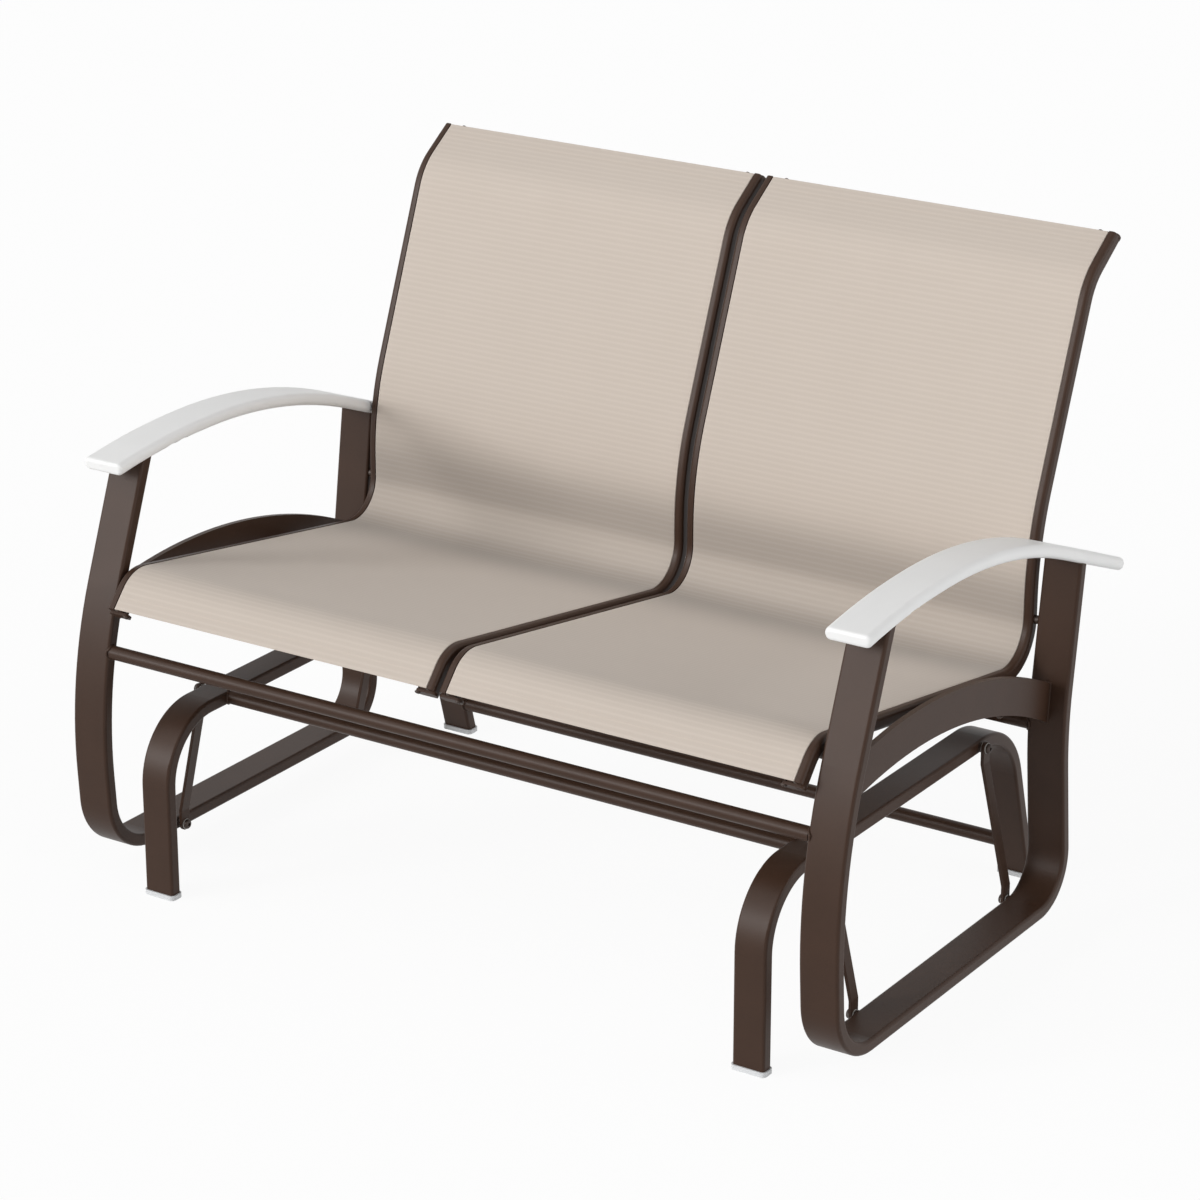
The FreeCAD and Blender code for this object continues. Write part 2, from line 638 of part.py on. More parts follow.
def build_pivot_set(word, height, face_x, away):
    """Pivot hardware: threaded inserts, spacers and bolts.

    face_x is the face of the tube that carries them, and away is 1 where the bolts point away
    from the middle of the bench and -1 where they point towards it.
    """
    inserts = []
    spacers = []
    bolts = []
    seat = "bolt_shank + 2 * seated_clearance"
    spacer_length = "(link_stand - link_thick / 2 - bush_flange - face_clearance - insert_flange)"
    head_reach = "(link_stand + link_thick / 2 + bush_flange + face_clearance)"
    for end, along in PIVOTS.items():
        for side_word, side in SIDES.items():
            outward = side * away
            name = f"{word}_{end}_{side_word}"
            where = {"y": along, "z": height}
            x = mirrored(face_x, side)
            flange = washer(f"{name}_flange", "insert_flange_diameter", seat, "insert_flange",
                            reverse=outward < 0, x=x, **where)
            barrel = sketch_on(flange, "YZ_Plane", f"{name}_barrel")
            ring(barrel, "insert_diameter")
            ring(barrel, seat)
            pad(flange, barrel, "insert_length", reverse=outward > 0)
            inserts.append(flange)
            spacers.append(washer(
                f"{name}_spacer", "spacer_diameter", seat, spacer_length, reverse=outward < 0,
                x=f"{x} + {outward} * insert_flange", **where,
            ))
            one = bolt(
                f"{name}_bolt", "bolt_shank", f"({head_reach} + bolt_bite)",
                "bolt_head", "bolt_head_height", "bolt_socket",
                x=f"{x} + {outward} * {head_reach}", **where,
            )
            one.Placement.Rotation = FreeCAD.Rotation(Vector(0, 1, 0), 90 * outward)
            bolts.append(one)
    group(f"{word}_pivot_inserts", inserts)
    group(f"{word}_pivot_spacers", spacers)
    group(f"{word}_pivot_bolts", bolts)


def joggled_strip(side):
    """Return the outline of a swing link seen from the front, about the middle of its gap.

    Its upper end lies near the base rail and its lower end near the side frame, and both ends
    are upright.
    """
    run = "(base_rail_height - side_rail_height - 2 * link_flat)"
    slope = f"(2 * {LINK_SHIFT} / {run})"
    mitre = f"(link_thick / 2 * (sqrt(1 + {slope} * {slope}) - 1) / {slope})"
    upper = ("base_rail_height - link_flat", f"-{LINK_SHIFT}")
    lower = ("side_rail_height + link_flat", LINK_SHIFT)
    top = "base_rail_height + link_bar"
    foot = "side_rail_height - link_bar"
    inner = "link_bend"
    outer = "link_bend + link_thick"
    corners = []
    for face, bends in ((-1, (outer, inner)), (1, (inner, outer))):
        half = f"{face} * link_thick / 2"
        turn = f"{face} * {mitre}"
        line = [
            (f"{side} * ({upper[1]} + {half})", top, NO_BEND),
            (f"{side} * ({upper[1]} + {half})", f"{upper[0]} + {turn}", bends[0]),
            (f"{side} * ({lower[1]} + {half})", f"{lower[0]} + {turn}", bends[1]),
            (f"{side} * ({lower[1]} + {half})", foot, NO_BEND),
        ]
        corners += line if face < 0 else line[::-1]
    return corners


def build_links():
    """Swing links: a joggled strip with round ends, and a pair of flanged bushes in each end."""
    ends = {"upper": ("base_rail_height", -1), "lower": ("side_rail_height", 1)}
    bore = "(bolt_shank + 2 * turning_clearance)"
    barrel = f"({bore} + 2 * bush_wall)"
    for end, along in PIVOTS.items():
        for word, side in SIDES.items():
            name = f"swing_link_{end}_{word}"
            body = new_body(name, x=mirrored(LINK_X, side), y=along)
            strip = sketch_on(body, "XZ_Plane", f"{name}_strip")
            chain(strip, joggled_strip(side), closed=True)
            pad(body, strip, "link_bar", symmetric=True)
            ends_cut = sketch_on(body, "YZ_Plane", f"{name}_ends")
            low = "side_rail_height - link_bar"
            high = "base_rail_height + link_bar"
            chain(ends_cut, rectangle(
                "-link_bar", "link_bar", f"{low} - cut_margin", f"{high} + cut_margin",
            ), closed=True)
            chain(ends_cut, rectangle(
                "-link_bar / 2", "link_bar / 2", "side_rail_height - link_bar / 2",
                "base_rail_height + link_bar / 2", f"link_bar * {ROUND_SHARE}",
            ), closed=True)
            pocket(body, ends_cut, "link_gap", symmetric=True)
            holes = sketch_on(body, "YZ_Plane", f"{name}_holes")
            for height, _ in ends.values():
                ring(holes, f"{barrel} + 2 * seated_clearance", "0", height)
            pocket(body, holes, "link_gap", symmetric=True)
            round_edges(body, "link_edge", is_outline_edge)
            nodes[name] = body
            bushes = []
            for height, shift in ends.values():
                middle = f"{mirrored(LINK_X, side)} + {shift * side} * {LINK_SHIFT}"
                for face in (LEFT, RIGHT):
                    bush = washer(
                        f"{name}_bush", "bush_flange_diameter", bore, "bush_flange",
                        reverse=face == LEFT, x=f"{middle} + {face} * link_thick / 2",
                        y=along, z=height,
                    )
                    sleeve = sketch_on(bush, "YZ_Plane", f"{bush.Name}_barrel")
                    ring(sleeve, barrel)
                    ring(sleeve, bore)
                    pad(bush, sleeve, "link_thick / 2 - seated_clearance", reverse=face == RIGHT)
                    bushes.append(bush)
            group(f"link_bushes_{end}_{word}", bushes)


def is_outline_edge(edge):
    """Tell whether an edge of a swing link runs along its outline."""
    return not edge.isClosed() and edge.BoundBox.ZLength > SOLVED


def round_edges(body, radius, wanted):
    """Round the edges of a body that the test picks, with a bound radius."""
    base = body.Tip
    picked = [f"Edge{index}" for index, edge in enumerate(base.Shape.Edges, start=1) if wanted(edge)]
    fillet = body.newObject("PartDesign::Fillet", f"{body.Name}_rounding")
    fillet.Base = (base, picked)
    bind(fillet, Radius=radius)
    doc.recompute()
    return fillet


def build_armrests():
    """Armrests: a curved slab with a spigot for each upright below it."""
    front_z = "(arm_top_height - tan(arm_front_rise) * (arm_front_corner_y - arm_front_y))"
    rear_z = "(arm_top_height - tan(arm_rear_fall) * (arm_rear_y - arm_rear_corner_y))"
    route = [
        ("arm_front_y", front_z, NO_BEND),
        ("arm_front_corner_y", "arm_top_height", "arm_front_bend"),
        ("arm_rear_corner_y", "arm_top_height", "arm_rear_bend"),
        ("arm_rear_y", rear_z, NO_BEND),
    ]
    slab = rectangle("-arm_width / 2", "arm_width / 2", "0", "arm_thickness", "arm_edge")
    for word, side in SIDES.items():
        name = f"armrest_{word}"
        body = new_body(name, x=mirrored(SIDE_X, side))
        swept(body, route, [slab], turn="arm_front_rise - 90")
        ends = (value("arm_front_y"), value("arm_rear_y"))
        round_edges(body, "arm_end_edge", lambda edge: is_end_edge(edge, ends, value("arm_thickness")))
        for end, (top_y, top_z, lean) in UPRIGHT_TOPS.items():
            spigot = sketch_on(body, "YZ_Plane", f"{name}_{end}_spigot")
            half = "(side_tube_thick / 2 - side_tube_wall - spigot_clearance)"
            across = f"{half} * cos({lean})"
            rise = f"{half} * sin({lean})"
            reach = "(spigot_length + arm_thickness / 2)"
            down_y = f"({top_y} - sin({lean}) * {reach})"
            down_z = f"({top_z} - cos({lean}) * {reach})"
            chain(spigot, [
                (f"{top_y} - {across}", f"{top_z} + {rise}", NO_BEND),
                (f"{down_y} - {across}", f"{down_z} + {rise}", NO_BEND),
                (f"{down_y} + {across}", f"{down_z} - {rise}", NO_BEND),
                (f"{top_y} + {across}", f"{top_z} - {rise}", NO_BEND),
            ], closed=True)
            width = "side_tube_width - 2 * (side_tube_wall + spigot_clearance)"
            pad(body, spigot, width, symmetric=True)
            hole = arm_screw_hole(body, end)
            ring(hole, "rail_screw_shank + 2 * seated_clearance")
            pocket(body, hole, "side_tube_thick", symmetric=True)
        nodes[name] = body


def is_end_edge(edge, ends, slab):
    """Tell whether an edge lies wholly on one of the armrest's two ends."""
    box = edge.BoundBox
    near_front = box.YMax < ends[0] + slab
    near_rear = box.YMin > ends[1] - slab
    return near_front or near_rear


def arm_screw_place(end):
    """Return the middle of the armrest screw's hole in an upright, and the upright's lean."""
    top_y, top_z, lean = UPRIGHT_TOPS[end]
    down = "(arm_thickness / 2 + arm_screw_drop)"
    return f"({top_y} - sin({lean}) * {down})", f"({top_z} - cos({lean}) * {down})", lean


def arm_screw_hole(body, end):
    """Return a sketch in the middle of an upright, square to the armrest screw there."""
    y, z, lean = arm_screw_place(end)
    return sketch_on(body, "XY_Plane", f"{body.Name}_{end}_screw", at=("0", y, z), turn=f"90 - {lean}")


def build_side_frames():
    """Side frames: one bent flat tube each, coped under its armrest."""
    section = flat_tube("side_tube_width", "side_tube_thick", "side_tube_corner", "side_tube_wall")
    for word, side in SIDES.items():
        name = f"side_frame_{word}"
        where = {"x": mirrored(SIDE_X, side)}
        tube = new_body(f"{name}_tube", **where)
        swept(tube, SIDE_ROUTE, section, turn="-front_lean")
        holes = sketch_on(tube, "YZ_Plane", f"{name}_pivot_holes")
        for along in PIVOTS.values():
            ring(holes, "insert_diameter + 2 * seated_clearance", along, "side_rail_height")
        ring(holes, "back_insert_diameter + 2 * seated_clearance", BACK_BOLT_Y, "back_bolt_height")
        pocket(tube, holes, "side_tube_width", reverse=side == LEFT)
        for end in UPRIGHT_TOPS:
            hole = arm_screw_hole(tube, end)
            ring(hole, "rail_screw_shank + 2 * hole_clearance")
            pocket(tube, hole, "side_tube_thick")
        nodes[name] = cut(name, tube, nodes[f"armrest_{word}"])
        filled = new_body(f"{name}_filled", **where)
        swept(filled, SIDE_ROUTE, section[:1], turn="-front_lean")
        build_seat_rail(word, side, filled)


def build_seat_rail(word, side, filled):
    """Arched seat rail: a flat bar on edge, coped to the two uprights that it joins."""
    name = f"arched_seat_rail_{word}"
    bar = new_body(f"{name}_bar", x=mirrored(f"{SIDE_X} - arch_inset", side))
    arc = sketch_on(bar, "YZ_Plane", f"{name}_arc")
    centre_z = "(arch_top_height - arch_radius)"
    low = "(arch_radius - arch_depth)"
    past = "arch_depth"
    corners = []
    for radius, ends in (("arch_radius", (-1, 1)), (low, (1, -1))):
        crown = ("arch_top_y", f"{centre_z} + {radius} / cos(arch_spread)", radius)
        run = f"({radius} * sin(arch_spread) + {past} * cos(arch_spread))"
        drop = f"({radius} * cos(arch_spread) - {past} * sin(arch_spread))"
        tips = [(f"arch_top_y + {end} * {run}", f"{centre_z} + {drop}", NO_BEND) for end in ends]
        corners += [tips[0], crown, tips[1]]
    chain(arc, corners, closed=True)
    pad(bar, arc, "arch_thick", symmetric=True)
    inside = new_body(f"{name}_reach", x=mirrored(SIDE_X, side))
    loop = sketch_on(inside, "YZ_Plane", f"{name}_loop")
    chain(loop, SIDE_ROUTE, closed=True)
    pad(inside, loop, "side_tube_width", symmetric=True)
    trimmed = doc.addObject("Part::Common", f"{name}_trimmed")
    trimmed.Base = bar
    trimmed.Tool = inside
    nodes[name] = cut(name, trimmed, filled)


def build_cross_tubes():
    """Round tubes of the seat frame, and the two seat bars under the sling rails."""
    between = f"2 * {SIDE_FACE_X}"
    nodes["glider_front_tube"] = round_tube(
        "glider_front_tube", "cross_tube_diameter", "cross_tube_wall", between,
        y=FRONT_TUBE_Y, z="glider_front_tube_height",
    )
    nodes["glider_rear_tube"] = round_tube(
        "glider_rear_tube", "cross_tube_diameter", "cross_tube_wall", between,
        y=REAR_TUBE_Y, z="rear_knee_height",
    )
    length = f"2 * ({SIDE_X} - arch_inset - arch_thick / 2)"
    for end in ("front", "rear"):
        name = f"seat_bar_{end}"
        y, z = seat_bar_axis(end)
        bar = round_tube(name, "seat_bar_diameter", "seat_bar_wall", length, y=y, z=z, turn="-seat_fall")
        holes = sketch_on(bar, "XY_Plane", f"{name}_holes")
        for x in RAIL_PLACES.values():
            ring(holes, "rail_screw_shank + 2 * hole_clearance", x, "0")
        pocket(bar, holes, "seat_bar_diameter * 2", symmetric=True)
        nodes[name] = bar


def seat_line(y, depth):
    """Return the point at a depth behind the seat line, square to it from the place y."""
    return (
        f"({y} - sin(seat_fall) * {depth})",
        f"(seat_corner_height - tan(seat_fall) * ({y} - seat_corner_y) - cos(seat_fall) * {depth})",
    )


def seat_bar_axis(end):
    """Return a seat bar's axis, just clear of the sling rails' backs."""
    return seat_line(f"seat_bar_{end}_y", "(rail_depth + weld_gap + seat_bar_diameter / 2)")


def rail_section(fabric):
    """Return a sling rail's section: face at 0, back at rail_depth, slot in the middle.

    The half of the face on the fabric's side is lower, so that the fabric lies flush.
    """
    def at(across, depth, bend=NO_BEND):
        return (f"{fabric} * {across}", depth, bend)

    lowered = "(fabric_drop * 2 + fabric_thick)"
    outer = [
        at("(-rail_width / 2)", "0", "rail_corner"),
        at("(-rail_neck / 2)", "0"),
        at("(-rail_neck / 2)", "rail_neck_depth"),
        at("(-rail_slot / 2)", "rail_neck_depth"),
        at("(-rail_slot / 2)", "rail_slot_depth"),
        at("(rail_slot / 2)", "rail_slot_depth"),
        at("(rail_slot / 2)", "rail_neck_depth"),
        at("(rail_neck / 2)", "rail_neck_depth"),
        at("(rail_neck / 2)", lowered),
        at("(rail_width / 2)", lowered, "rail_corner"),
        at("(rail_width / 2)", "rail_depth", "rail_corner"),
        at("(-rail_width / 2)", "rail_depth", "rail_corner"),
    ]
    return [outer, chamber("rail_wall")]


def chamber(margin):
    """Return the outline of a rail's hollow chamber, a margin inside the rail's own outline."""
    half = f"(rail_width / 2 - {margin})"
    low = f"(rail_chamber_top + {margin} - rail_wall)"
    return [
        (f"-{half}", low, NO_BEND),
        (half, low, NO_BEND),
        (half, f"rail_depth - {margin}", f"rail_corner - {margin}"),
        (f"-{half}", f"rail_depth - {margin}", f"rail_corner - {margin}"),
    ]


def build_sling_rails():
    """Sling rails, the cords in their slots, and the plates and spreaders at their ends."""
    route = rail_route("0")
    splines = []
    for word, x in RAIL_PLACES.items():
        name = f"sling_rail_{word}"
        body = new_body(name, x=x)
        swept(body, route, rail_section(FABRIC_SIDE[word]), turn=RAIL_TURN["top"])
        for end in ("front", "rear"):
            y, z = seat_line(f"seat_bar_{end}_y", "(rail_depth - rail_wall - cut_margin)")
            hole = sketch_on(body, "XY_Plane", f"{name}_{end}_hole", at=("0", y, z), turn="-seat_fall")
            ring(hole, "rail_screw_shank + 2 * hole_clearance")
            pocket(body, hole, "rail_wall + 2 * cut_margin")
        if word.startswith("outer"):
            side_hole = sketch_on(body, "YZ_Plane", f"{name}_side_hole")
            ring(side_hole, "back_bolt_shank + 2 * hole_clearance", BACK_BOLT_Y, "back_bolt_height")
            pocket(body, side_hole, "rail_width * 2", symmetric=True)
        nodes[name] = body
        cord = new_body(f"{name}_spline", x=x)
        swept_round(cord, route, "spline_diameter", "((rail_neck_depth + rail_slot_depth) / 2)")
        splines.append(cord)
    group("sling_splines", splines)


def swept_round(body, route, diameter, depth):
    """Carry a circle along the rail's route, a depth behind its face."""
    path = sketch_on(body, "YZ_Plane", f"{body.Name}_route")
    chain(path, route, closed=False)
    profile = sketch_on(body, "XY_Plane", f"{body.Name}_section", at=("0", *route[0][:2]),
                        turn=RAIL_TURN["top"])
    ring(profile, diameter, "0", depth)
    doc.recompute()
    pipe = body.newObject("PartDesign::AdditivePipe", f"{body.Name}_cord")
    pipe.Profile = profile
    pipe.Spine = (path, [])
    doc.recompute()


def build_rail_ends():
    """End plates with their plugs and tabs, the spreaders between them, and their bolts."""
    reach = f"({OUTER_RAIL_X} - {INNER_RAIL_X} - rail_width)"
    middle = f"(({OUTER_RAIL_X} + {INNER_RAIL_X}) / 2)"
    depth = "(rail_depth / 2)"
    bolts = []
    for end, turn in RAIL_TURN.items():
        beyond = -1 if end == "front" else 1
        plates = []
        y, z = RAIL_END[end]("0")
        for word, x in RAIL_PLACES.items():
            fabric = FABRIC_SIDE[word]
            name = f"{end}_plate_{word}"
            body = new_body(name, x=x, y=y, z=z, turn=turn)
            face = sketch_on(body, "XY_Plane", f"{name}_face")
            outer = f"{fabric} * (-rail_width / 2 - bracket_margin)"
            tab = f"{fabric} * (rail_width / 2 + bracket_tab)"
            low, high = (outer, tab) if fabric > 0 else (tab, outer)
            chain(face, rectangle(low, high, "bracket_set_back", "rail_depth", "rail_corner"), closed=True)
            pad(body, face, "bracket_thick", reverse=beyond < 0)
            plug = sketch_on(body, "XY_Plane", f"{name}_plug")
            chain(plug, chamber("(rail_wall + plug_clearance)"), closed=True)
            pad(body, plug, "bracket_plug", reverse=beyond > 0)
            hole = sketch_on(body, "XY_Plane", f"{name}_hole")
            bolt_x = f"{fabric} * (rail_width / 2 + bracket_tab / 2)"
            ring(hole, "small_bolt_shank + 2 * hole_clearance", bolt_x, depth)
            pocket(body, hole, "bracket_thick * 3", symmetric=True)
            plates.append(body)
            one = bolt(
                f"{name}_bolt", "small_bolt_shank", "small_bolt_length", "small_bolt_head",
                "small_bolt_head_height", "small_bolt_socket", **end_bolt_place(end, x, bolt_x, depth),
            )
            bolts.append(one)
        group(f"{end}_rail_end_plates", plates)
        y, z = RAIL_END[end]("spreader_inset")
        lean = turn
        y = f"({y} + cos({lean}) * {depth})"
        z = f"({z} + sin({lean}) * {depth})"
        for word, side in SIDES.items():
            name = f"{end}_spreader_{word}"
            bar = round_tube(
                name, "spreader_diameter", "spreader_wall", reach,
                x=mirrored(middle, side), y=y, z=z, turn=turn,
            )
            holes = sketch_on(bar, "XY_Plane", f"{name}_holes")
            for direction in (-1, 1):
                ring(holes, "small_bolt_shank + 2 * hole_clearance",
                     f"{direction} * ({reach} / 2 - bracket_tab / 2)", "0")
            pocket(bar, holes, "spreader_diameter", reverse=beyond > 0)
            nodes[name] = bar
    group("spreader_bolts", bolts)


def end_bolt_place(end, x, bolt_x, depth):
    """Return where a spreader bolt sits: its head on the outside of the end plate."""
    turn = RAIL_TURN[end]
    y, z = RAIL_END[end]("-bracket_thick")
    return {
        "x": f"{x} + {bolt_x}",
        "y": f"({y} + cos({turn}) * {depth})",
        "z": f"({z} + sin({turn}) * {depth})",
        "turn": turn if end == "top" else f"{turn} + 180",
    }


def build_slings():
    """Slings: the stretched fabric of each seat, from slot to slot."""
    width = f"({OUTER_RAIL_X} - {INNER_RAIL_X})"
    middle = f"(({OUTER_RAIL_X} + {INNER_RAIL_X}) / 2)"
    strip = rectangle(f"-{width} / 2", f"{width} / 2", "fabric_drop", "fabric_drop + fabric_thick")
    for word, side in SIDES.items():
        name = f"sling_{word}"
        body = new_body(name, x=mirrored(middle, side))
        swept(body, rail_route("fabric_end"), [strip], turn=RAIL_TURN["top"])
        nodes[name] = body


def build_screws():
    """Screws that hold the rails to the seat bars, the armrests and the backs of the rails."""
    screws = []
    length = "(seat_bar_diameter + weld_gap + rail_screw_bite)"
    for end in ("front", "rear"):
        y, z = seat_line(f"seat_bar_{end}_y", "(rail_depth + weld_gap + seat_bar_diameter)")
        for word, x in RAIL_PLACES.items():
            screws.append(bolt(
                f"rail_screw_{end}_{word}", "rail_screw_shank", length, "rail_screw_head",
                "rail_screw_head_height", "rail_screw_socket", x=x, y=y, z=z, turn="180 - seat_fall",
            ))
    group("rail_screws", screws)
    arm_screws = []
    for end in UPRIGHT_TOPS:
        y, z, lean = arm_screw_place(end)
        for word, side in SIDES.items():
            arm_screws.append(bolt(
                f"arm_screw_{end}_{word}", "rail_screw_shank", "arm_screw_length", "rail_screw_head",
                "rail_screw_head_height", "rail_screw_socket", x=mirrored(SIDE_X, side),
                y=f"({y} + cos({lean}) * side_tube_thick / 2)",
                z=f"({z} - sin({lean}) * side_tube_thick / 2)", turn=f"-90 - {lean}",
            ))
    group("arm_screws", arm_screws)
    build_back_bolts()


def build_back_bolts():
    """Bolts, spacers and inserts between the outer sling rails and the rear uprights."""
    bolts = []
    spacers = []
    inserts = []
    seat = "back_bolt_shank + 2 * seated_clearance"
    where = {"y": BACK_BOLT_Y, "z": "back_bolt_height"}
    for word, side in SIDES.items():
        face = mirrored(SIDE_FACE_X, side)
        inserts.append(washer(
            f"back_insert_{word}", "back_insert_diameter", seat, "back_insert_length",
            reverse=side == LEFT, x=face, **where,
        ))
        spacers.append(washer(
            f"back_spacer_{word}", "back_spacer_diameter", seat, "rail_side_gap",
            reverse=side == RIGHT, x=face, **where,
        ))
        one = bolt(
            f"back_bolt_{word}", "back_bolt_shank",
            "(rail_width + rail_side_gap + back_insert_length)", "back_bolt_head",
            "back_bolt_head_height", "back_bolt_socket",
            x=mirrored(f"{OUTER_RAIL_X} - rail_width / 2", side), **where,
        )
        one.Placement.Rotation = FreeCAD.Rotation(Vector(0, 1, 0), -90 * side)
        bolts.append(one)
    group("back_rail_inserts", inserts)
    group("back_rail_spacers", spacers)
    group("back_rail_bolts", bolts)


def check_document():
    """Stop if any object failed or any sub-part has no sound shape."""
    for item in doc.Objects:
        if "Invalid" in item.State or "Error" in item.State:
            raise RuntimeError(f"{item.Label} failed: {item.State}")
    for name, item in nodes.items():
        if item.Shape.isNull() or not item.Shape.isValid() or not item.Shape.Solids:
            raise RuntimeError(f"{name} has no sound shape")


def write_parts():
    """Write each sub-part to its own file."""
    os.makedirs("parts", exist_ok=True)
    for name, item in nodes.items():
        item.Shape.exportStep(f"parts/{name}.step")
    print(f"{len(nodes)} sub-parts written")


def main():
    """Build the bench, check it and write its parts."""
    fill_sheet()
    build_base()
    build_pivot_set("upper", "base_rail_height", BASE_FACE_X, away=1)
    build_links()
    build_pivot_set("lower", "side_rail_height", SIDE_FACE_X, away=-1)
    build_armrests()
    build_side_frames()
    build_cross_tubes()
    build_sling_rails()
    build_rail_ends()
    build_slings()
    build_screws()
    doc.recompute()
    check_document()
    write_parts()


main()
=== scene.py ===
"""Look of a two-seat sling glider bench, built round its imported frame.

Metres, +Z up. The bench faces -Y, and the origin is on the floor under the middle of the bench.
Painted metal, armrests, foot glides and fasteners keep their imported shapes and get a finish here.
The sling fabric with its hems and stitches, and the weld beads, are made here.
"""

from __future__ import annotations

import json
import logging
import math
from dataclasses import dataclass, field
from enum import Enum

import bpy
import numpy as np
from mathutils import Matrix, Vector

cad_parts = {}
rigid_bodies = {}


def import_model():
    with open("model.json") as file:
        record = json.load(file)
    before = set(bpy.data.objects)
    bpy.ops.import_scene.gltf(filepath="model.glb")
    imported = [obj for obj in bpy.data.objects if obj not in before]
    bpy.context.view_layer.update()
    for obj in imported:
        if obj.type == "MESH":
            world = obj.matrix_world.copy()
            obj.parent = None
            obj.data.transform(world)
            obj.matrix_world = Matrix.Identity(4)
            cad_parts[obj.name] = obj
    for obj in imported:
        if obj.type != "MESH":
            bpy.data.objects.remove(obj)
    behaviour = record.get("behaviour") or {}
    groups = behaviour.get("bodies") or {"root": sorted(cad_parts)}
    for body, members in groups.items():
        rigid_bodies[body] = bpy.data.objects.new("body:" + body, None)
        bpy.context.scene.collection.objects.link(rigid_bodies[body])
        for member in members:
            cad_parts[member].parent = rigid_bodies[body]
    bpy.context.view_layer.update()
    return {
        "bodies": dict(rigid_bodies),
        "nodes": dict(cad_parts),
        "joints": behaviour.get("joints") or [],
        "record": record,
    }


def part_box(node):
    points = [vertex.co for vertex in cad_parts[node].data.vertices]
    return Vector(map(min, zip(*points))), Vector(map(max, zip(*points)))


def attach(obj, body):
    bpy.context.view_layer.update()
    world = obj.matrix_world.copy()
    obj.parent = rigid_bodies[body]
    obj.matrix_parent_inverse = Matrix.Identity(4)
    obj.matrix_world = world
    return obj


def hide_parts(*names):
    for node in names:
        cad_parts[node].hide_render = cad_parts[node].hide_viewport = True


MM = 0.001
TINY = 1e-9
log = logging.getLogger("glider_bench")

Colour = tuple[float, float, float]


class Ray(Enum):
    """Kinds of ray that see the plain white background."""

    CAMERA = "Is Camera Ray"
    GLOSSY = "Is Glossy Ray"
    TRANSMISSION = "Is Transmission Ray"


class Signal:
    """A socket of a node tree, with the arithmetic that patterns are written in."""

    def __init__(self, desk: Desk, socket: bpy.types.NodeSocket) -> None:
        """Keep the socket and the desk that it belongs to."""
        self.desk = desk
        self.socket = socket

    def __add__(self, other: Signal | float) -> Signal:
        """Return self + other."""
        return self.desk.math("ADD", self, other)

    def __radd__(self, other: float) -> Signal:
        """Return other + self."""
        return self.desk.math("ADD", other, self)

    def __sub__(self, other: Signal | float) -> Signal:
        """Return self - other."""
        return self.desk.math("SUBTRACT", self, other)

    def __rsub__(self, other: float) -> Signal:
        """Return other - self."""
        return self.desk.math("SUBTRACT", other, self)

    def __mul__(self, other: Signal | float) -> Signal:
        """Return self * other."""
        return self.desk.math("MULTIPLY", self, other)

    def __rmul__(self, other: float) -> Signal:
        """Return other * self."""
        return self.desk.math("MULTIPLY", other, self)

    def __pow__(self, other: float) -> Signal:
        """Return self to the power of other."""
        return self.desk.math("POWER", self, other)

    def ripple(self, pitch: float) -> Signal:
        """Return a wave from 0 to 1 that repeats each pitch of this value."""
        return self.desk.math("COSINE", self * (2 * math.pi / pitch)) * 0.5 + 0.5

    def between(self, low: float, high: float) -> Signal:
        """Return 0 below low and 1 above high, with a soft step from one to the other."""
        return self.desk.node(
            "ShaderNodeMapRange", {"interpolation_type": "SMOOTHSTEP"},
            {"Value": self, "From Min": low, "From Max": high},
        )


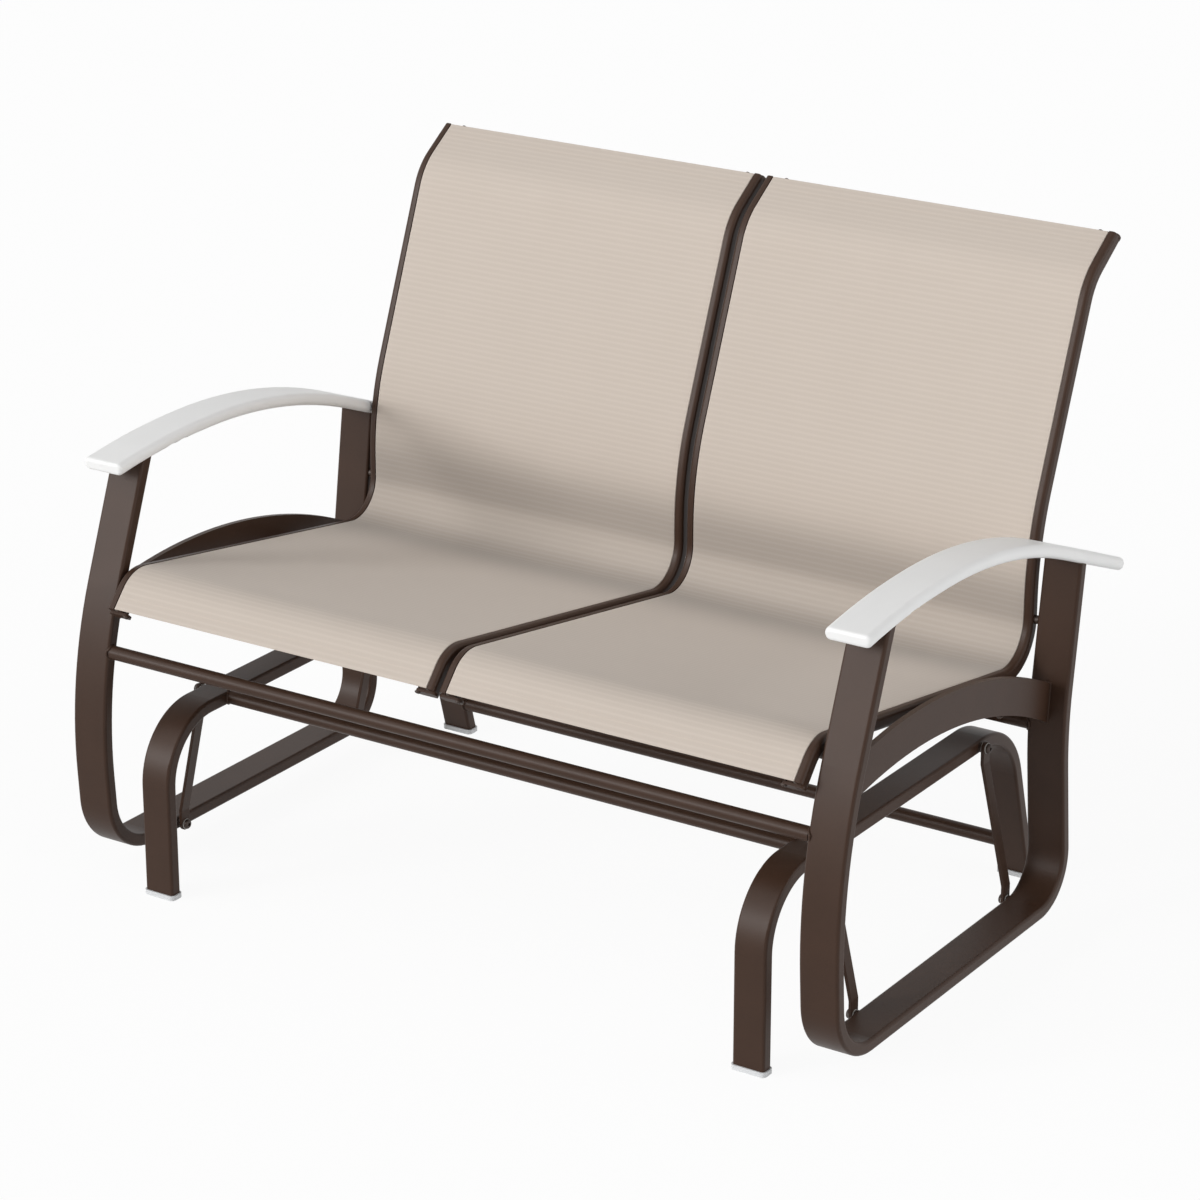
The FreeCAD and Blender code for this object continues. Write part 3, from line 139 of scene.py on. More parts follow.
class Desk:
    """The node tree of a material or a world, and the making of its nodes."""

    def __init__(self, tree: bpy.types.NodeTree) -> None:
        """Start with an empty tree."""
        self.tree = tree
        self.tree.nodes.clear()

    def node(
        self, kind: str, settings: dict | None = None, inputs: dict | None = None, output: str | int = 0
    ) -> Signal:
        """Add a node.

        Args:
            kind: the node's type.
            settings: properties set first, such as a Math node's operation.
            inputs: values or signals by the name or number of their socket.
            output: the name or number of the socket to return.

        Returns:
            The node's output as a signal.
        """
        made = self.tree.nodes.new(kind)
        for name, setting in (settings or {}).items():
            setattr(made, name, setting)
        for name, given in (inputs or {}).items():
            if isinstance(given, Signal):
                self.tree.links.new(given.socket, made.inputs[name])
            else:
                made.inputs[name].default_value = given
        return Signal(self, made.outputs[output])

    def math(self, operation: str, first: Signal | float, second: Signal | float = 0.0) -> Signal:
        """Return a Math node's result for one or two values."""
        return self.node("ShaderNodeMath", {"operation": operation}, {0: first, 1: second})

    def blend(self, share: Signal, low: Colour, high: Colour) -> Signal:
        """Return the colour that goes from low to high as share goes from 0 to 1."""
        return self.node(
            "ShaderNodeMix", {"data_type": "RGBA"}, {0: share, 6: (*low, 1.0), 7: (*high, 1.0)}, 2
        )

    def tint(self, share: Signal, paint: Signal, by: Colour) -> Signal:
        """Return the paint, multiplied by a colour where share is 1 and left alone where it is 0."""
        return self.node(
            "ShaderNodeMix", {"data_type": "RGBA", "blend_type": "MULTIPLY"},
            {0: share, 6: paint, 7: (*by, 1.0)}, 2,
        )

    def place(self) -> Signal:
        """Return the place on the piece in the bench's own frame, in metres."""
        return self.node("ShaderNodeTexCoord", output="Object")

    def noise(self, where: Signal, grain: float, detail: float = 2.0) -> Signal:
        """Return even noise from 0 to 1 whose grains are about that many metres across."""
        return self.node(
            "ShaderNodeTexNoise", {}, {"Vector": where, "Scale": 1 / grain, "Detail": detail}
        )

    def relief(self, height: Signal, depth: float, strength: float = 1.0) -> Signal:
        """Return the normal of a surface whose height goes from 0 to 1 over that depth in metres."""
        return self.node(
            "ShaderNodeBump", {}, {"Strength": strength, "Distance": depth, "Height": height}
        )

    def finish(self, shader: Signal, kind: str = "ShaderNodeOutputMaterial") -> None:
        """Send a shader to the tree's output."""
        end = self.tree.nodes.new(kind)
        self.tree.links.new(shader.socket, end.inputs["Surface"])


@dataclass(frozen=True)
class Finish:
    """A surface finish. Each kind lays its own pattern on one material."""

    title: str

    def desk(self) -> tuple[bpy.types.Material, Desk]:
        """Start the finish.

        Returns:
            A new material and its desk.
        """
        material = bpy.data.materials.new(self.title)
        material.use_nodes = True
        return material, Desk(material.node_tree)

    def shade(self, desk: Desk, **inputs: Signal | float | tuple) -> None:
        """Finish a material with one principled shader.

        Args:
            desk: the material's desk.
            inputs: socket values or signals, with an underscore for each space in a name.
        """
        named = {name.replace("_", " "): given for name, given in inputs.items()}
        desk.finish(desk.node("ShaderNodeBsdfPrincipled", {}, named))


@dataclass(frozen=True)
class PowderCoat(Finish):
    """Baked powder on metal: a fine even orange peel with darker and lighter grains.

    Peel, grain and cloud are patches of noise that wide. A share is a pattern's part of a mixture,
    and the contrast is where the mixture starts to be light and where it is wholly light.
    """

    dark: Colour = (0.0350, 0.0175, 0.0105)
    light: Colour = (0.0460, 0.0231, 0.0141)
    contrast: tuple[float, float] = (0.3, 0.7)
    roughness: float = 0.42
    peel_roughness: float = 0.06
    grain_roughness: float = 0.04
    shine: float = 0.18
    peel: float = 2.6 * MM
    grain: float = 0.7 * MM
    cloud: float = 60 * MM
    cloud_share: float = 0.3
    peel_share: float = 0.6
    depth: float = 0.12 * MM
    strength: float = 0.55

    def make(self) -> bpy.types.Material:
        """Lay the pattern.

        Returns:
            The material.
        """
        material, desk = self.desk()
        where = desk.place()
        peel = desk.noise(where, self.peel, 1.0)
        grain = desk.noise(where, self.grain, 2.0)
        cloud = desk.noise(where, self.cloud, 1.0)
        tone = grain * (1 - self.cloud_share) + cloud * self.cloud_share
        smooth = self.roughness - (self.peel_roughness + self.grain_roughness) / 2
        height = peel * self.peel_share + grain * (1 - self.peel_share)
        self.shade(
            desk,
            Base_Color=desk.blend(tone.between(*self.contrast), self.dark, self.light),
            Roughness=smooth + peel * self.peel_roughness + grain * self.grain_roughness,
            Specular_IOR_Level=self.shine,
            Normal=desk.relief(height, self.depth, self.strength),
        )
        return material


@dataclass(frozen=True)
class SlingWeave(Finish):
    """Coated yarn cloth: a raised rib across the seat every few millimetres and fine yarns between.

    Its lightness is a mixture of the ribs, the yarns between them, a fine mottle and wide clouds,
    whose shares add up to 1. Painted shade darkens the cloth over the corner between seat and back,
    most of all at the small of the back and at the rear of the seat, where the shade of the bend and
    the back falls. Each of these painted shade bands is four places along the cloth: where it
    starts, where it is full, where it starts to fade and where it has gone.
    """

    shade_low: Colour = (0.483, 0.419, 0.363)
    shade_high: Colour = (0.527, 0.461, 0.403)
    contrast: tuple[float, float] = (0.05, 0.75)
    rib: float = 8.2 * MM
    rib_power: float = 2.0
    warp: float = 1.6 * MM
    weft: float = 1.37 * MM
    mottle: float = 3.1 * MM
    cloud: float = 90 * MM
    rib_share: float = 0.34
    yarn_share: float = 0.22
    mottle_share: float = 0.26
    cloud_share: float = 0.18
    roughness: float = 0.86
    rib_polish: float = 0.08
    sheen: float = 0.12
    sheen_roughness: float = 0.6
    rib_height: float = 0.6
    depth: float = 0.22 * MM
    strength: float = 0.5
    # Painted shade: bands along the cloth for the shade in the corner between seat and back, and the
    # colour that multiplies the cloth there.
    corner: tuple[float, float, float, float] = (0.462, 0.560, 0.680, 0.810)
    lumbar: tuple[float, float, float, float] = (0.490, 0.560, 0.574, 0.600)
    seat_rear: tuple[float, float, float, float] = (0.618, 0.655, 0.660, 0.760)
    corner_share: float = 0.55
    painted_shade_colour: Colour = (0.68, 0.68, 0.68)

    def band(self, along: Signal, ramps: tuple[float, float, float, float]) -> Signal:
        """Return a value that rises from 0 to 1 and falls back again along the cloth.

        Args:
            along: the place along the cloth, in metres.
            ramps: where it starts to rise, where it has risen, where it starts to fall and where
                it has fallen.

        Returns:
            The value.
        """
        rise, risen, fall, fallen = ramps
        return along.between(rise, risen) * (1 - along.between(fall, fallen))

    def make(self) -> bpy.types.Material:
        """Lay the pattern on the cloth's UV map, which is metres across and metres along it.

        Returns:
            The material.
        """
        material, desk = self.desk()
        flat = desk.node("ShaderNodeUVMap", {"uv_map": "UVMap"})
        across = desk.node("ShaderNodeSeparateXYZ", {}, {0: flat}, 0)
        along = desk.node("ShaderNodeSeparateXYZ", {}, {0: flat}, 1)
        rib = along.ripple(self.rib) ** self.rib_power
        yarn = across.ripple(self.warp)
        pick = along.ripple(self.weft)
        mottle = desk.noise(flat, self.mottle, 3.0)
        cloud = desk.noise(flat, self.cloud, 2.0)
        ground = yarn * pick * (1 - rib)
        tone = rib * self.rib_share + ground * self.yarn_share
        tone = tone + mottle * self.mottle_share + cloud * self.cloud_share
        yarns = desk.blend(tone.between(*self.contrast), self.shade_low, self.shade_high)
        height = rib * self.rib_height + ground * (1 - self.rib_height)
        # Painted shade: darkens the cloth in bands at the seat-back corner, the small of the back and
        # the rear of the seat.
        lumbar_and_seat_rear_shade = self.band(along, self.lumbar) + self.band(along, self.seat_rear)
        painted_shade_mask = self.band(along, self.corner) * self.corner_share + lumbar_and_seat_rear_shade * (1 - self.corner_share)
        self.shade(
            desk,
            Base_Color=desk.tint(painted_shade_mask, yarns, self.painted_shade_colour),
            Roughness=self.roughness - rib * self.rib_polish,
            Sheen_Weight=self.sheen,
            Sheen_Roughness=self.sheen_roughness,
            Normal=desk.relief(height, self.depth, self.strength),
        )
        return material


@dataclass(frozen=True)
class MouldedResin(Finish):
    """Moulded plastic: one colour, a fine grain and slow changes of gloss."""

    low: Colour = (0.76, 0.76, 0.755)
    high: Colour = (0.82, 0.82, 0.815)
    roughness: float = 0.42
    grain_roughness: float = 0.12
    grain: float = 0.9 * MM
    cloud: float = 70 * MM
    cloud_share: float = 0.7
    depth: float = 0.05 * MM
    strength: float = 0.5

    def make(self) -> bpy.types.Material:
        """Lay the pattern.

        Returns:
            The material.
        """
        material, desk = self.desk()
        where = desk.place()
        grain = desk.noise(where, self.grain, 3.0)
        cloud = desk.noise(where, self.cloud, 2.0)
        tone = cloud * self.cloud_share + grain * (1 - self.cloud_share)
        self.shade(
            desk,
            Base_Color=desk.blend(tone, self.low, self.high),
            Roughness=self.roughness + (grain - 0.5) * self.grain_roughness,
            Normal=desk.relief(grain, self.depth, self.strength),
        )
        return material


@dataclass(frozen=True)
class TurnedSteel(Finish):
    """Dark coated steel with faint turning marks."""

    low: Colour = (0.030, 0.017, 0.012)
    high: Colour = (0.044, 0.026, 0.018)
    metallic: float = 0.15
    roughness: float = 0.52
    marks_roughness: float = 0.15
    marks: float = 0.5 * MM
    cloud: float = 6 * MM
    depth: float = 0.03 * MM
    strength: float = 0.5

    def make(self) -> bpy.types.Material:
        """Lay the pattern.

        Returns:
            The material.
        """
        material, desk = self.desk()
        where = desk.place()
        marks = desk.noise(where, self.marks, 2.0)
        cloud = desk.noise(where, self.cloud, 2.0)
        self.shade(
            desk,
            Base_Color=desk.blend(marks * 0.5 + cloud * 0.5, self.low, self.high),
            Metallic=self.metallic,
            Roughness=self.roughness + (marks - 0.5) * self.marks_roughness,
            Normal=desk.relief(marks, self.depth, self.strength),
        )
        return material


class Piece:
    """Mesh making shared by the sub-assemblies."""

    @staticmethod
    def mesh(
        name: str, points: np.ndarray, faces: np.ndarray, flat: np.ndarray | None = None
    ) -> bpy.types.Object:
        """Make an object of quads.

        Args:
            name: the object's name.
            points: vertex places, (n, 3).
            faces: vertex numbers of each quad, (m, 4).
            flat: UV place of each vertex, (n, 2), if the piece has a UV map.

        Returns:
            The object, linked to the scene, at the origin.
        """
        data = bpy.data.meshes.new(name)
        data.from_pydata(points.tolist(), [], faces.tolist())
        if flat is not None:
            layer = data.uv_layers.new(name="UVMap")
            corners = np.zeros(len(data.loops), np.int32)
            data.loops.foreach_get("vertex_index", corners)
            layer.data.foreach_set("uv", flat[corners].astype(np.float32).ravel())
        data.polygons.foreach_set("use_smooth", np.ones(len(data.polygons), bool))
        data.validate()
        data.update()
        made = bpy.data.objects.new(name, data)
        bpy.context.scene.collection.objects.link(made)
        return made

    @staticmethod
    def quads(
        rows: int, columns: int, wrap_rows: bool = False, wrap_columns: bool = False
    ) -> np.ndarray:
        """Return the quads of a grid of points stored row by row.

        Args:
            rows: number of rows.
            columns: points in a row.
            wrap_rows: whether the last row joins the first.
            wrap_columns: whether the last point of a row joins its first.

        Returns:
            Vertex numbers, (m, 4).
        """
        row = np.arange(rows if wrap_rows else rows - 1)[:, None]
        column = np.arange(columns if wrap_columns else columns - 1)[None, :]
        next_row = (row + 1) % rows
        next_column = (column + 1) % columns
        corners = (
            row * columns + column, row * columns + next_column,
            next_row * columns + next_column, next_row * columns + column,
        )
        shape = (len(row), column.size)
        return np.stack([np.broadcast_to(corner, shape) for corner in corners], -1).reshape(-1, 4)


@dataclass
class SeatLine:
    """Side view of the sling rails' face, from the top end to the front end.

    A corner is where two straights would meet, and a bend is the radius there. The seat falls
    towards the back and the apron slopes down to the front by degrees from level, and the leans
    are degrees from upright. An arc has at least arc_points points.
    """

    seat_corner: tuple[float, float] = (-0.3679, 0.4699)
    seat_fall: float = 9.1
    apron_slope: float = 48.5
    apron_length: float = 0.064
    apron_bend: float = 0.056
    back_corner_y: float = 0.1997
    back_corner_bend: float = 0.0545
    lumbar_height: float = 0.548
    lumbar_bend: float = 0.400
    back_lean: float = 21.7
    back_length: float = 0.368
    top_bend: float = 0.095
    top_lean: float = 56.0
    top_length: float = 0.087
    arc_points: int = 8

    def corners(self) -> tuple[np.ndarray, np.ndarray]:
        """Work out the corners of the line, and its two ends, from the top down.

        Returns:
            Corners (6, 2) as (y, z), and the bend at each (6,), which is 0 at the ends.
        """
        fall, slope = np.radians((self.seat_fall, self.apron_slope))
        lean, top = np.radians((self.back_lean, self.top_lean))
        seat = np.array(self.seat_corner)
        front = seat - self.apron_length * np.array((math.cos(slope), math.sin(slope)))
        back_z = seat[1] - math.tan(fall) * (self.back_corner_y - seat[0])
        back = np.array((self.back_corner_y, back_z))
        lumbar = np.array((self.back_corner_y, self.lumbar_height))
        under_top = lumbar + self.back_length * np.array((math.sin(lean), math.cos(lean)))
        end = under_top + self.top_length * np.array((math.sin(top), math.cos(top)))
        bends = np.array(
            (0, self.top_bend, self.lumbar_bend, self.back_corner_bend, self.apron_bend, 0)
        )
        return np.array((end, under_top, lumbar, back, seat, front)), bends

    def line(self, step: float) -> np.ndarray:
        """Return the line as points a step apart or nearer.

        Each bend is an arc that touches both straights: its ends lie bend / tan(half the corner's
        angle) from the corner.

        Args:
            step: the longest distance between two points, in metres.

        Returns:
            Points (n, 2) as (y, z).
        """
        corners, bends = self.corners()
        before = corners[:-2] - corners[1:-1]
        after = corners[2:] - corners[1:-1]
        before /= np.linalg.norm(before, axis=1, keepdims=True)
        after /= np.linalg.norm(after, axis=1, keepdims=True)
        half = np.arccos(np.clip((before * after).sum(1), -1, 1)) / 2
        pieces = [corners[:1]]
        for corner, bend, near, far, turn in zip(corners[1:-1], bends[1:-1], before, after, half):
            reach = bend / math.tan(turn)
            middle = corner + (near + far) / np.linalg.norm(near + far) * bend / math.sin(turn)
            first = corner + near * reach - middle
            last = corner + far * reach - middle
            sweep = math.pi - 2 * turn
            count = max(self.arc_points, int(bend * sweep / step) + 1)
            share = np.linspace(0, 1, count)[:, None]
            arc = np.sin((1 - share) * sweep) * first + np.sin(share * sweep) * last
            pieces.append(middle + arc / math.sin(sweep))
        pieces.append(corners[-1:])
        rough = np.concatenate(pieces)
        length = np.concatenate(([0], np.cumsum(np.linalg.norm(np.diff(rough, axis=0), axis=1))))
        parts = [
            np.linspace(start, end, max(1, math.ceil((end - start) / step)), endpoint=False)
            for start, end in zip(length[:-1], length[1:])
        ]
        even = np.concatenate([*parts, length[-1:]])
        return np.stack([np.interp(even, length, rough[:, axis]) for axis in (0, 1)], -1)

    def length(self, step: float) -> float:
        """Return the length of the line, measured over points a step apart."""
        return float(np.linalg.norm(np.diff(self.line(step), axis=0), axis=1).sum())


@dataclass
class Sling:
    """One seat's stretched cloth: edges turned down into the rails' slots and a hem at each end.

    Depths are measured behind the rails' face line, to the middle of a layer: proud is the face
    layer's and ledge is the hem's second layer's. The half circle at each end starts end_gap
    inside the rails' end. Turn is the radius of the bend over a slot's edge, and the edges go
    slot_depth deeper than the face. The cloth hangs back by up to sag halfway between its rails,
    which fades in over fade from each end. The counts of points shape each bend and run.
    """

    side: str
    finish: bpy.types.Material
    thread: bpy.types.Material
    seat: SeatLine = field(default_factory=SeatLine)
    inner_slot: float = 16 * MM
    outer_slot: float = 545 * MM
    rail_half: float = 12.5 * MM
    thick: float = 0.8 * MM
    end_gap: float = 1.4 * MM
    ledge: float = 1.45 * MM
    proud: float = 0.65 * MM
    hem: float = 22 * MM
    slot_depth: float = 6.5 * MM
    turn: float = 1.1 * MM
    turn_start: float = 1.4
    sag: float = 2.2 * MM
    fade: float = 120 * MM
    fade_power: float = 1.5
    step: float = 5 * MM
    fine_step: float = 1 * MM
    fold_start: float = 2 * MM
    fold_points: int = 6
    end_points: int = 7
    turn_points: int = 6
    drop_points: int = 3
    columns: int = 52
    stitch_pitch: float = 4.2 * MM
    stitch_inset: float = 3 * MM
    stitch_share: float = 0.8
    thread_radius: float = 0.34 * MM
    thread_tip: float = 0.02 * MM
    thread_power: float = 0.6
    thread_rings: int = 6
    thread_sides: int = 6
    flat: tuple[float, float] = (0.0, 0.0)

    @property
    def sign(self) -> int:
        """Return -1 on the left and 1 on the right."""
        return -1 if self.side == "left" else 1

    @property
    def middle(self) -> float:
        """Return the X of the sling's middle line."""
        return self.sign * (self.inner_slot + self.outer_slot) / 2

    @property
    def half(self) -> float:
        """Return half the distance between the two slots."""
        return (self.outer_slot - self.inner_slot) / 2

    def along(self) -> tuple[np.ndarray, np.ndarray]:
        """Return the cloth's path from one hem's raw edge to the other.

        The path is the distance along the seat line and the depth behind it. It starts behind the
        top hem, turns over the end in a half circle, runs down the face and does the same at the
        front.

        Returns:
            Distances (n,) and depths (n,), in metres.
        """
        length = self.seat.length(self.step)
        near, far = self.end_gap, length - self.end_gap
        radius = (self.ledge - self.proud) / 2
        angle = np.linspace(-math.pi / 2, math.pi / 2, self.end_points)
        turn_s = -radius * np.cos(angle)
        turn_d = (self.ledge + self.proud) / 2 - radius * np.sin(angle)
        start = near + self.fold_start
        fold = np.linspace(near + self.hem, start, self.fold_points)
        face = np.linspace(start, length - start, math.ceil((length - 2 * start) / self.step))
        s = np.concatenate((fold, near + turn_s, face, far - turn_s[::-1], length - fold[::-1]))
        behind = np.full(len(fold), self.ledge)
        level = np.full(len(face), self.proud)
        d = np.concatenate((behind, turn_d, level, turn_d[::-1], behind))
        return s, d

    def across(self) -> tuple[np.ndarray, np.ndarray]:
        """Return the cloth's section: down in the slot, a small arc, flat, and the same again.

        Returns:
            Places across (m,) from the middle and extra depths (m,), in metres.
        """
        angle = np.linspace(0, math.pi / 2, self.turn_points)
        arc_x = -self.half + self.turn * (1 - np.cos(angle))
        arc_d = self.turn * (1 - np.sin(angle))
        drop_x = np.concatenate((np.full(self.drop_points, -self.half), arc_x))
        down = np.linspace(self.slot_depth, self.turn * self.turn_start, self.drop_points)
        drop_d = np.concatenate((down, arc_d))
        flat = np.linspace(drop_x[-1], -drop_x[-1], self.columns)[1:-1]
        x = np.concatenate((drop_x, flat, -drop_x[::-1]))
        return x, np.concatenate((drop_d, np.zeros(len(flat)), drop_d[::-1]))

    def on_line(self, s: np.ndarray) -> tuple[np.ndarray, np.ndarray]:
        """Return the seat line's points and its directions away from the sitter.

        Args:
            s: distances from the top end, any shape.

        Returns:
            Points (..., 2) and unit directions (..., 2), both as (y, z).
        """
        line = self.seat.line(self.fine_step)
        steps = np.diff(line, axis=0)
        length = np.concatenate(([0], np.cumsum(np.linalg.norm(steps, axis=1))))
        tangent = np.gradient(line, length, axis=0)
        point = np.stack([np.interp(s, length, line[:, axis]) for axis in (0, 1)], -1)
        ahead = np.stack([np.interp(s, length, tangent[:, axis]) for axis in (0, 1)], -1)
        ahead /= np.linalg.norm(ahead, axis=-1, keepdims=True)
        return point, np.stack((-ahead[..., 1], ahead[..., 0]), -1)

    def slack(self, x: np.ndarray, s: np.ndarray) -> np.ndarray:
        """Return how far the cloth hangs behind a straight line between its rails.

        With free as half the clear width between the rails, it is sag * (1 - (x / free) squared),
        times a fade: the distance from the nearer end over fade, at most 1, to a power.

        Args:
            x: places across from the middle.
            s: distances from the top end, of a shape that spreads against x.

        Returns:
            Depths of the shape that x and s spread to.
        """
        free = self.half - self.rail_half
        ends = np.minimum(s, s.max() - s) / self.fade
        return self.sag * np.clip(1 - (x / free) ** 2, 0, 1) * np.clip(ends, 0, 1) ** self.fade_power

    def cloth(self) -> bpy.types.Object:
        """Make the cloth: section across times path along, set off square to the seat line.

        Returns:
            The cloth, with its thickness as a modifier.
        """
        s, d = self.along()
        x, drop = self.across()
        point, behind = self.on_line(s)
        depth = d[:, None] + drop[None, :] + self.slack(x[None, :], s[:, None])
        place = point[:, None, :] + behind[:, None, :] * depth[..., None]
        over = np.broadcast_to(self.middle + x, depth.shape)
        points = np.stack((over, place[..., 0], place[..., 1]), -1)
        width = np.concatenate(([0], np.cumsum(np.hypot(np.diff(x), np.diff(drop)))))
        reach = np.concatenate(([0], np.cumsum(np.hypot(np.diff(s), np.diff(d)))))
        flat = np.stack(np.meshgrid(width, reach), -1)
        name = f"sling_cloth_{self.side}"
        faces = Piece.quads(*depth.shape)
        made = Piece.mesh(name, points.reshape(-1, 3), faces, flat.reshape(-1, 2))
        skin = made.modifiers.new("thickness", "SOLIDIFY")
        skin.thickness = self.thick
        skin.offset = 0
        made.data.materials.append(self.finish)
        self.flat = (float(width[-1]), float(reach[-1]))
        return made

    def stitches(self) -> bpy.types.Object:
        """Make both hems' stitches: small spindles in a row, on the face and on the back.

        A spindle is a circle carried over its length as t goes from 0 to 1. Its radius is
        thread_radius * sin(pi * t) to the power thread_power, and thread_tip at both ends.

        Returns:
            All the stitches as one piece.
        """
        free = self.half - self.turn - self.stitch_inset
        count = int(2 * free / self.stitch_pitch)
        x = (np.arange(count) - (count - 1) / 2) * self.stitch_pitch
        inset = self.end_gap + self.hem - self.stitch_inset
        s = np.array((inset, self.seat.length(self.step) - inset))
        depth = np.array((self.proud - self.thick / 2, self.ledge + self.thick / 2))
        t = np.linspace(0, 1, self.thread_rings)
        radius = self.thread_radius * np.sin(math.pi * t) ** self.thread_power
        radius[[0, -1]] = self.thread_tip
        angle = np.linspace(0, 2 * math.pi, self.thread_sides, endpoint=False)
        point, behind = self.on_line(s)
        ahead = np.stack((behind[:, 1], -behind[:, 0]), -1)
        ring_s = radius[:, None] * np.cos(angle)
        ring_d = radius[:, None] * np.sin(angle)
        shape = (2, 2, count, len(t), len(angle))
        slack = self.slack(x[None, :], s[:, None])
        deep = depth[None, :, None, None, None] + slack[:, None, :, None, None] + ring_d
        wide = (slice(None), None, None, None, None)
        y, z = (
            point[:, axis][wide] + behind[:, axis][wide] * deep + ahead[:, axis][wide] * ring_s
            for axis in (0, 1)
        )
        reach = (t[:, None] - 0.5) * self.stitch_pitch * self.stitch_share
        over = self.middle + x[:, None, None] + reach
        points = np.stack([np.broadcast_to(part, shape) for part in (over, y, z)], -1)
        one = Piece.quads(len(t), len(angle), wrap_columns=True)
        starts = np.arange(4 * count) * len(t) * len(angle)
        faces = (one[None] + starts[:, None, None]).reshape(-1, 4)
        made = Piece.mesh(f"hem_stitches_{self.side}", points.reshape(-1, 3), faces)
        made.data.materials.append(self.thread)
        return made

    def build(self) -> list[bpy.types.Object]:
        """Returns:
            The cloth and its stitches.
        """
        cloth = self.cloth()
        stitches = self.stitches()
        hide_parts(f"sling_{self.side}")
        for piece in (cloth, stitches):
            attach(piece, "glider")
        return [cloth, stitches]


@dataclass
class TubeWeld:
    """Where the two ends of a round tube meet the flat tubes beside it.

    In the side view the flat tube runs rail_lean degrees up from +Y, is twice half_thick wide and
    has its edges rounded by corner. The bead's radius ripples round the tube by small shares of
    it.
    """

    node: str
    body: str
    rail_lean: float
    half_thick: float
    corner: float
    corner_share: float = 0.97
    bead: float = 2.1 * MM
    flatten: float = 0.9
    fine_ripple: float = 0.10
    fine_turns: int = 24
    slow_ripple: float = 0.05
    slow_turns: int = 5
    around: int = 72
    section: int = 10

    def rings(self) -> np.ndarray:
        """Return both beads' points.

        A bead is a circle of the bead's radius, with small even ripples, carried round the tube.
        Where the flat tube's edge is rounded away, the carried circle moves after it: over the
        corner's radius r, at a distance w past the flat, by r - sqrt(r * r - w * w).

        Returns:
            Points (2, around, section, 3).
        """
        low, high = (np.array(corner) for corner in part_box(self.node))
        axis = (low + high) / 2
        tube = (high[2] - low[2]) / 2
        angle = np.linspace(0, 2 * math.pi, self.around, endpoint=False)
        section = np.linspace(0, 2 * math.pi, self.section, endpoint=False)
        off_rail = tube * np.abs(np.sin(angle - math.radians(self.rail_lean)))
        straight = self.half_thick - self.corner
        past = np.clip(off_rail - straight, 0, self.corner * self.corner_share)
        recess = self.corner - np.sqrt(self.corner ** 2 - past ** 2) if self.corner else past * 0
        ripple = self.fine_ripple * np.sin(angle * self.fine_turns)
        ripple = ripple + self.slow_ripple * np.sin(angle * self.slow_turns + 1)
        bead = self.bead * (1 + ripple)
        out = tube + bead[:, None] * np.cos(section) * self.flatten
        over = bead[:, None] * np.sin(section) + recess[:, None]
        points = []
        for side in (-1, 1):
            x = side * (high[0] + over)
            y = axis[1] + out * np.cos(angle)[:, None]
            z = axis[2] + out * np.sin(angle)[:, None]
            points.append(np.stack((x, y, z), -1))
        return np.array(points)


@dataclass
class ArchWeld:
    """Where an arched seat rail's two ends meet the uprights.

    Centre is the middle of the rail's arcs as (y, z). The margins are how near to an edge or a
    face a point counts as on it.
    """

    side: str
    centre: tuple[float, float] = (-0.1853, -0.4005)
    top_radius: float = 0.850
    low_radius: float = 0.798
    bead: float = 1.7 * MM
    ripple: float = 0.10
    ripple_pitch: float = 1.1 * MM
    edge_margin: float = 0.3 * MM
    face_margin: float = 0.1 * MM
    end_share: float = 0.98
    around: int = 96
    section: int = 8

    def loops(self) -> np.ndarray:
        """Return the beads round both ends.

        The four corners of an end are joined by straight runs, and a circle of the bead's radius
        is carried round them.

        Returns:
            Points (2, around, section, 3).
        """
        node = bpy.data.objects[f"arched_seat_rail_{self.side}"]
        data = np.zeros(len(node.data.vertices) * 3)
        node.data.vertices.foreach_get("co", data)
        data = data.reshape(-1, 3)
        away = np.hypot(data[:, 1] - self.centre[0], data[:, 2] - self.centre[1])
        found = []
        for front in (True, False):
            pick = np.argmin if front else np.argmax
            corners = []
            for radius in (self.top_radius, self.low_radius):
                edge = data[np.abs(away - radius) < self.edge_margin]
                corners.append(edge[pick(edge[:, 1])][1:])
            found.append(self.loop(np.array(corners), data[:, 0].min(), data[:, 0].max(), front))
        return np.array(found)

    def loop(self, corners: np.ndarray, low_x: float, high_x: float, front: bool) -> np.ndarray:
        """Return one bead round the rectangle of a bar's end.

        Args:
            corners: its upper and lower point, (2, 2) as (y, z).
            low_x: one face of the bar.
            high_x: the other face.
            front: whether it is the front end.

        Returns:
            Points (around, section, 3).
        """
        top, low = corners
        path = np.array(((low_x, *low), (low_x, *top), (high_x, *top), (high_x, *low)))
        closed = np.concatenate((path, path[:1]))
        length = np.concatenate(([0], np.cumsum(np.linalg.norm(np.diff(closed, axis=0), axis=1))))
        even = np.linspace(0, length[-1], self.around, endpoint=False)
        run = np.stack([np.interp(even, length, closed[:, axis]) for axis in range(3)], -1)
        middle = path.mean(0)
        along = (top - low) / np.linalg.norm(top - low)
        face = np.array((0, along[1], -along[0])) * (1 if front else -1)
        outward = run - middle
        on_face = np.abs(outward[:, :1]) > (high_x - low_x) / 2 - self.face_margin
        flat = np.sign(outward[:, :1]) * on_face
        ends = (outward[:, 1:] @ along)[:, None] / (np.linalg.norm(top - low) / 2)
        on_end = np.abs(ends) > self.end_share
        push = np.concatenate((flat, np.sign(ends) * on_end * along), 1)
        push /= np.maximum(np.linalg.norm(push, axis=1, keepdims=True), TINY)
        section = np.linspace(0, 2 * math.pi, self.section, endpoint=False)
        bead = self.bead * (1 + self.ripple * np.sin(even / self.ripple_pitch))[:, None, None]
        return run[:, None] + bead * (
            np.cos(section)[None, :, None] * push[:, None] + np.sin(section)[None, :, None] * face
        )


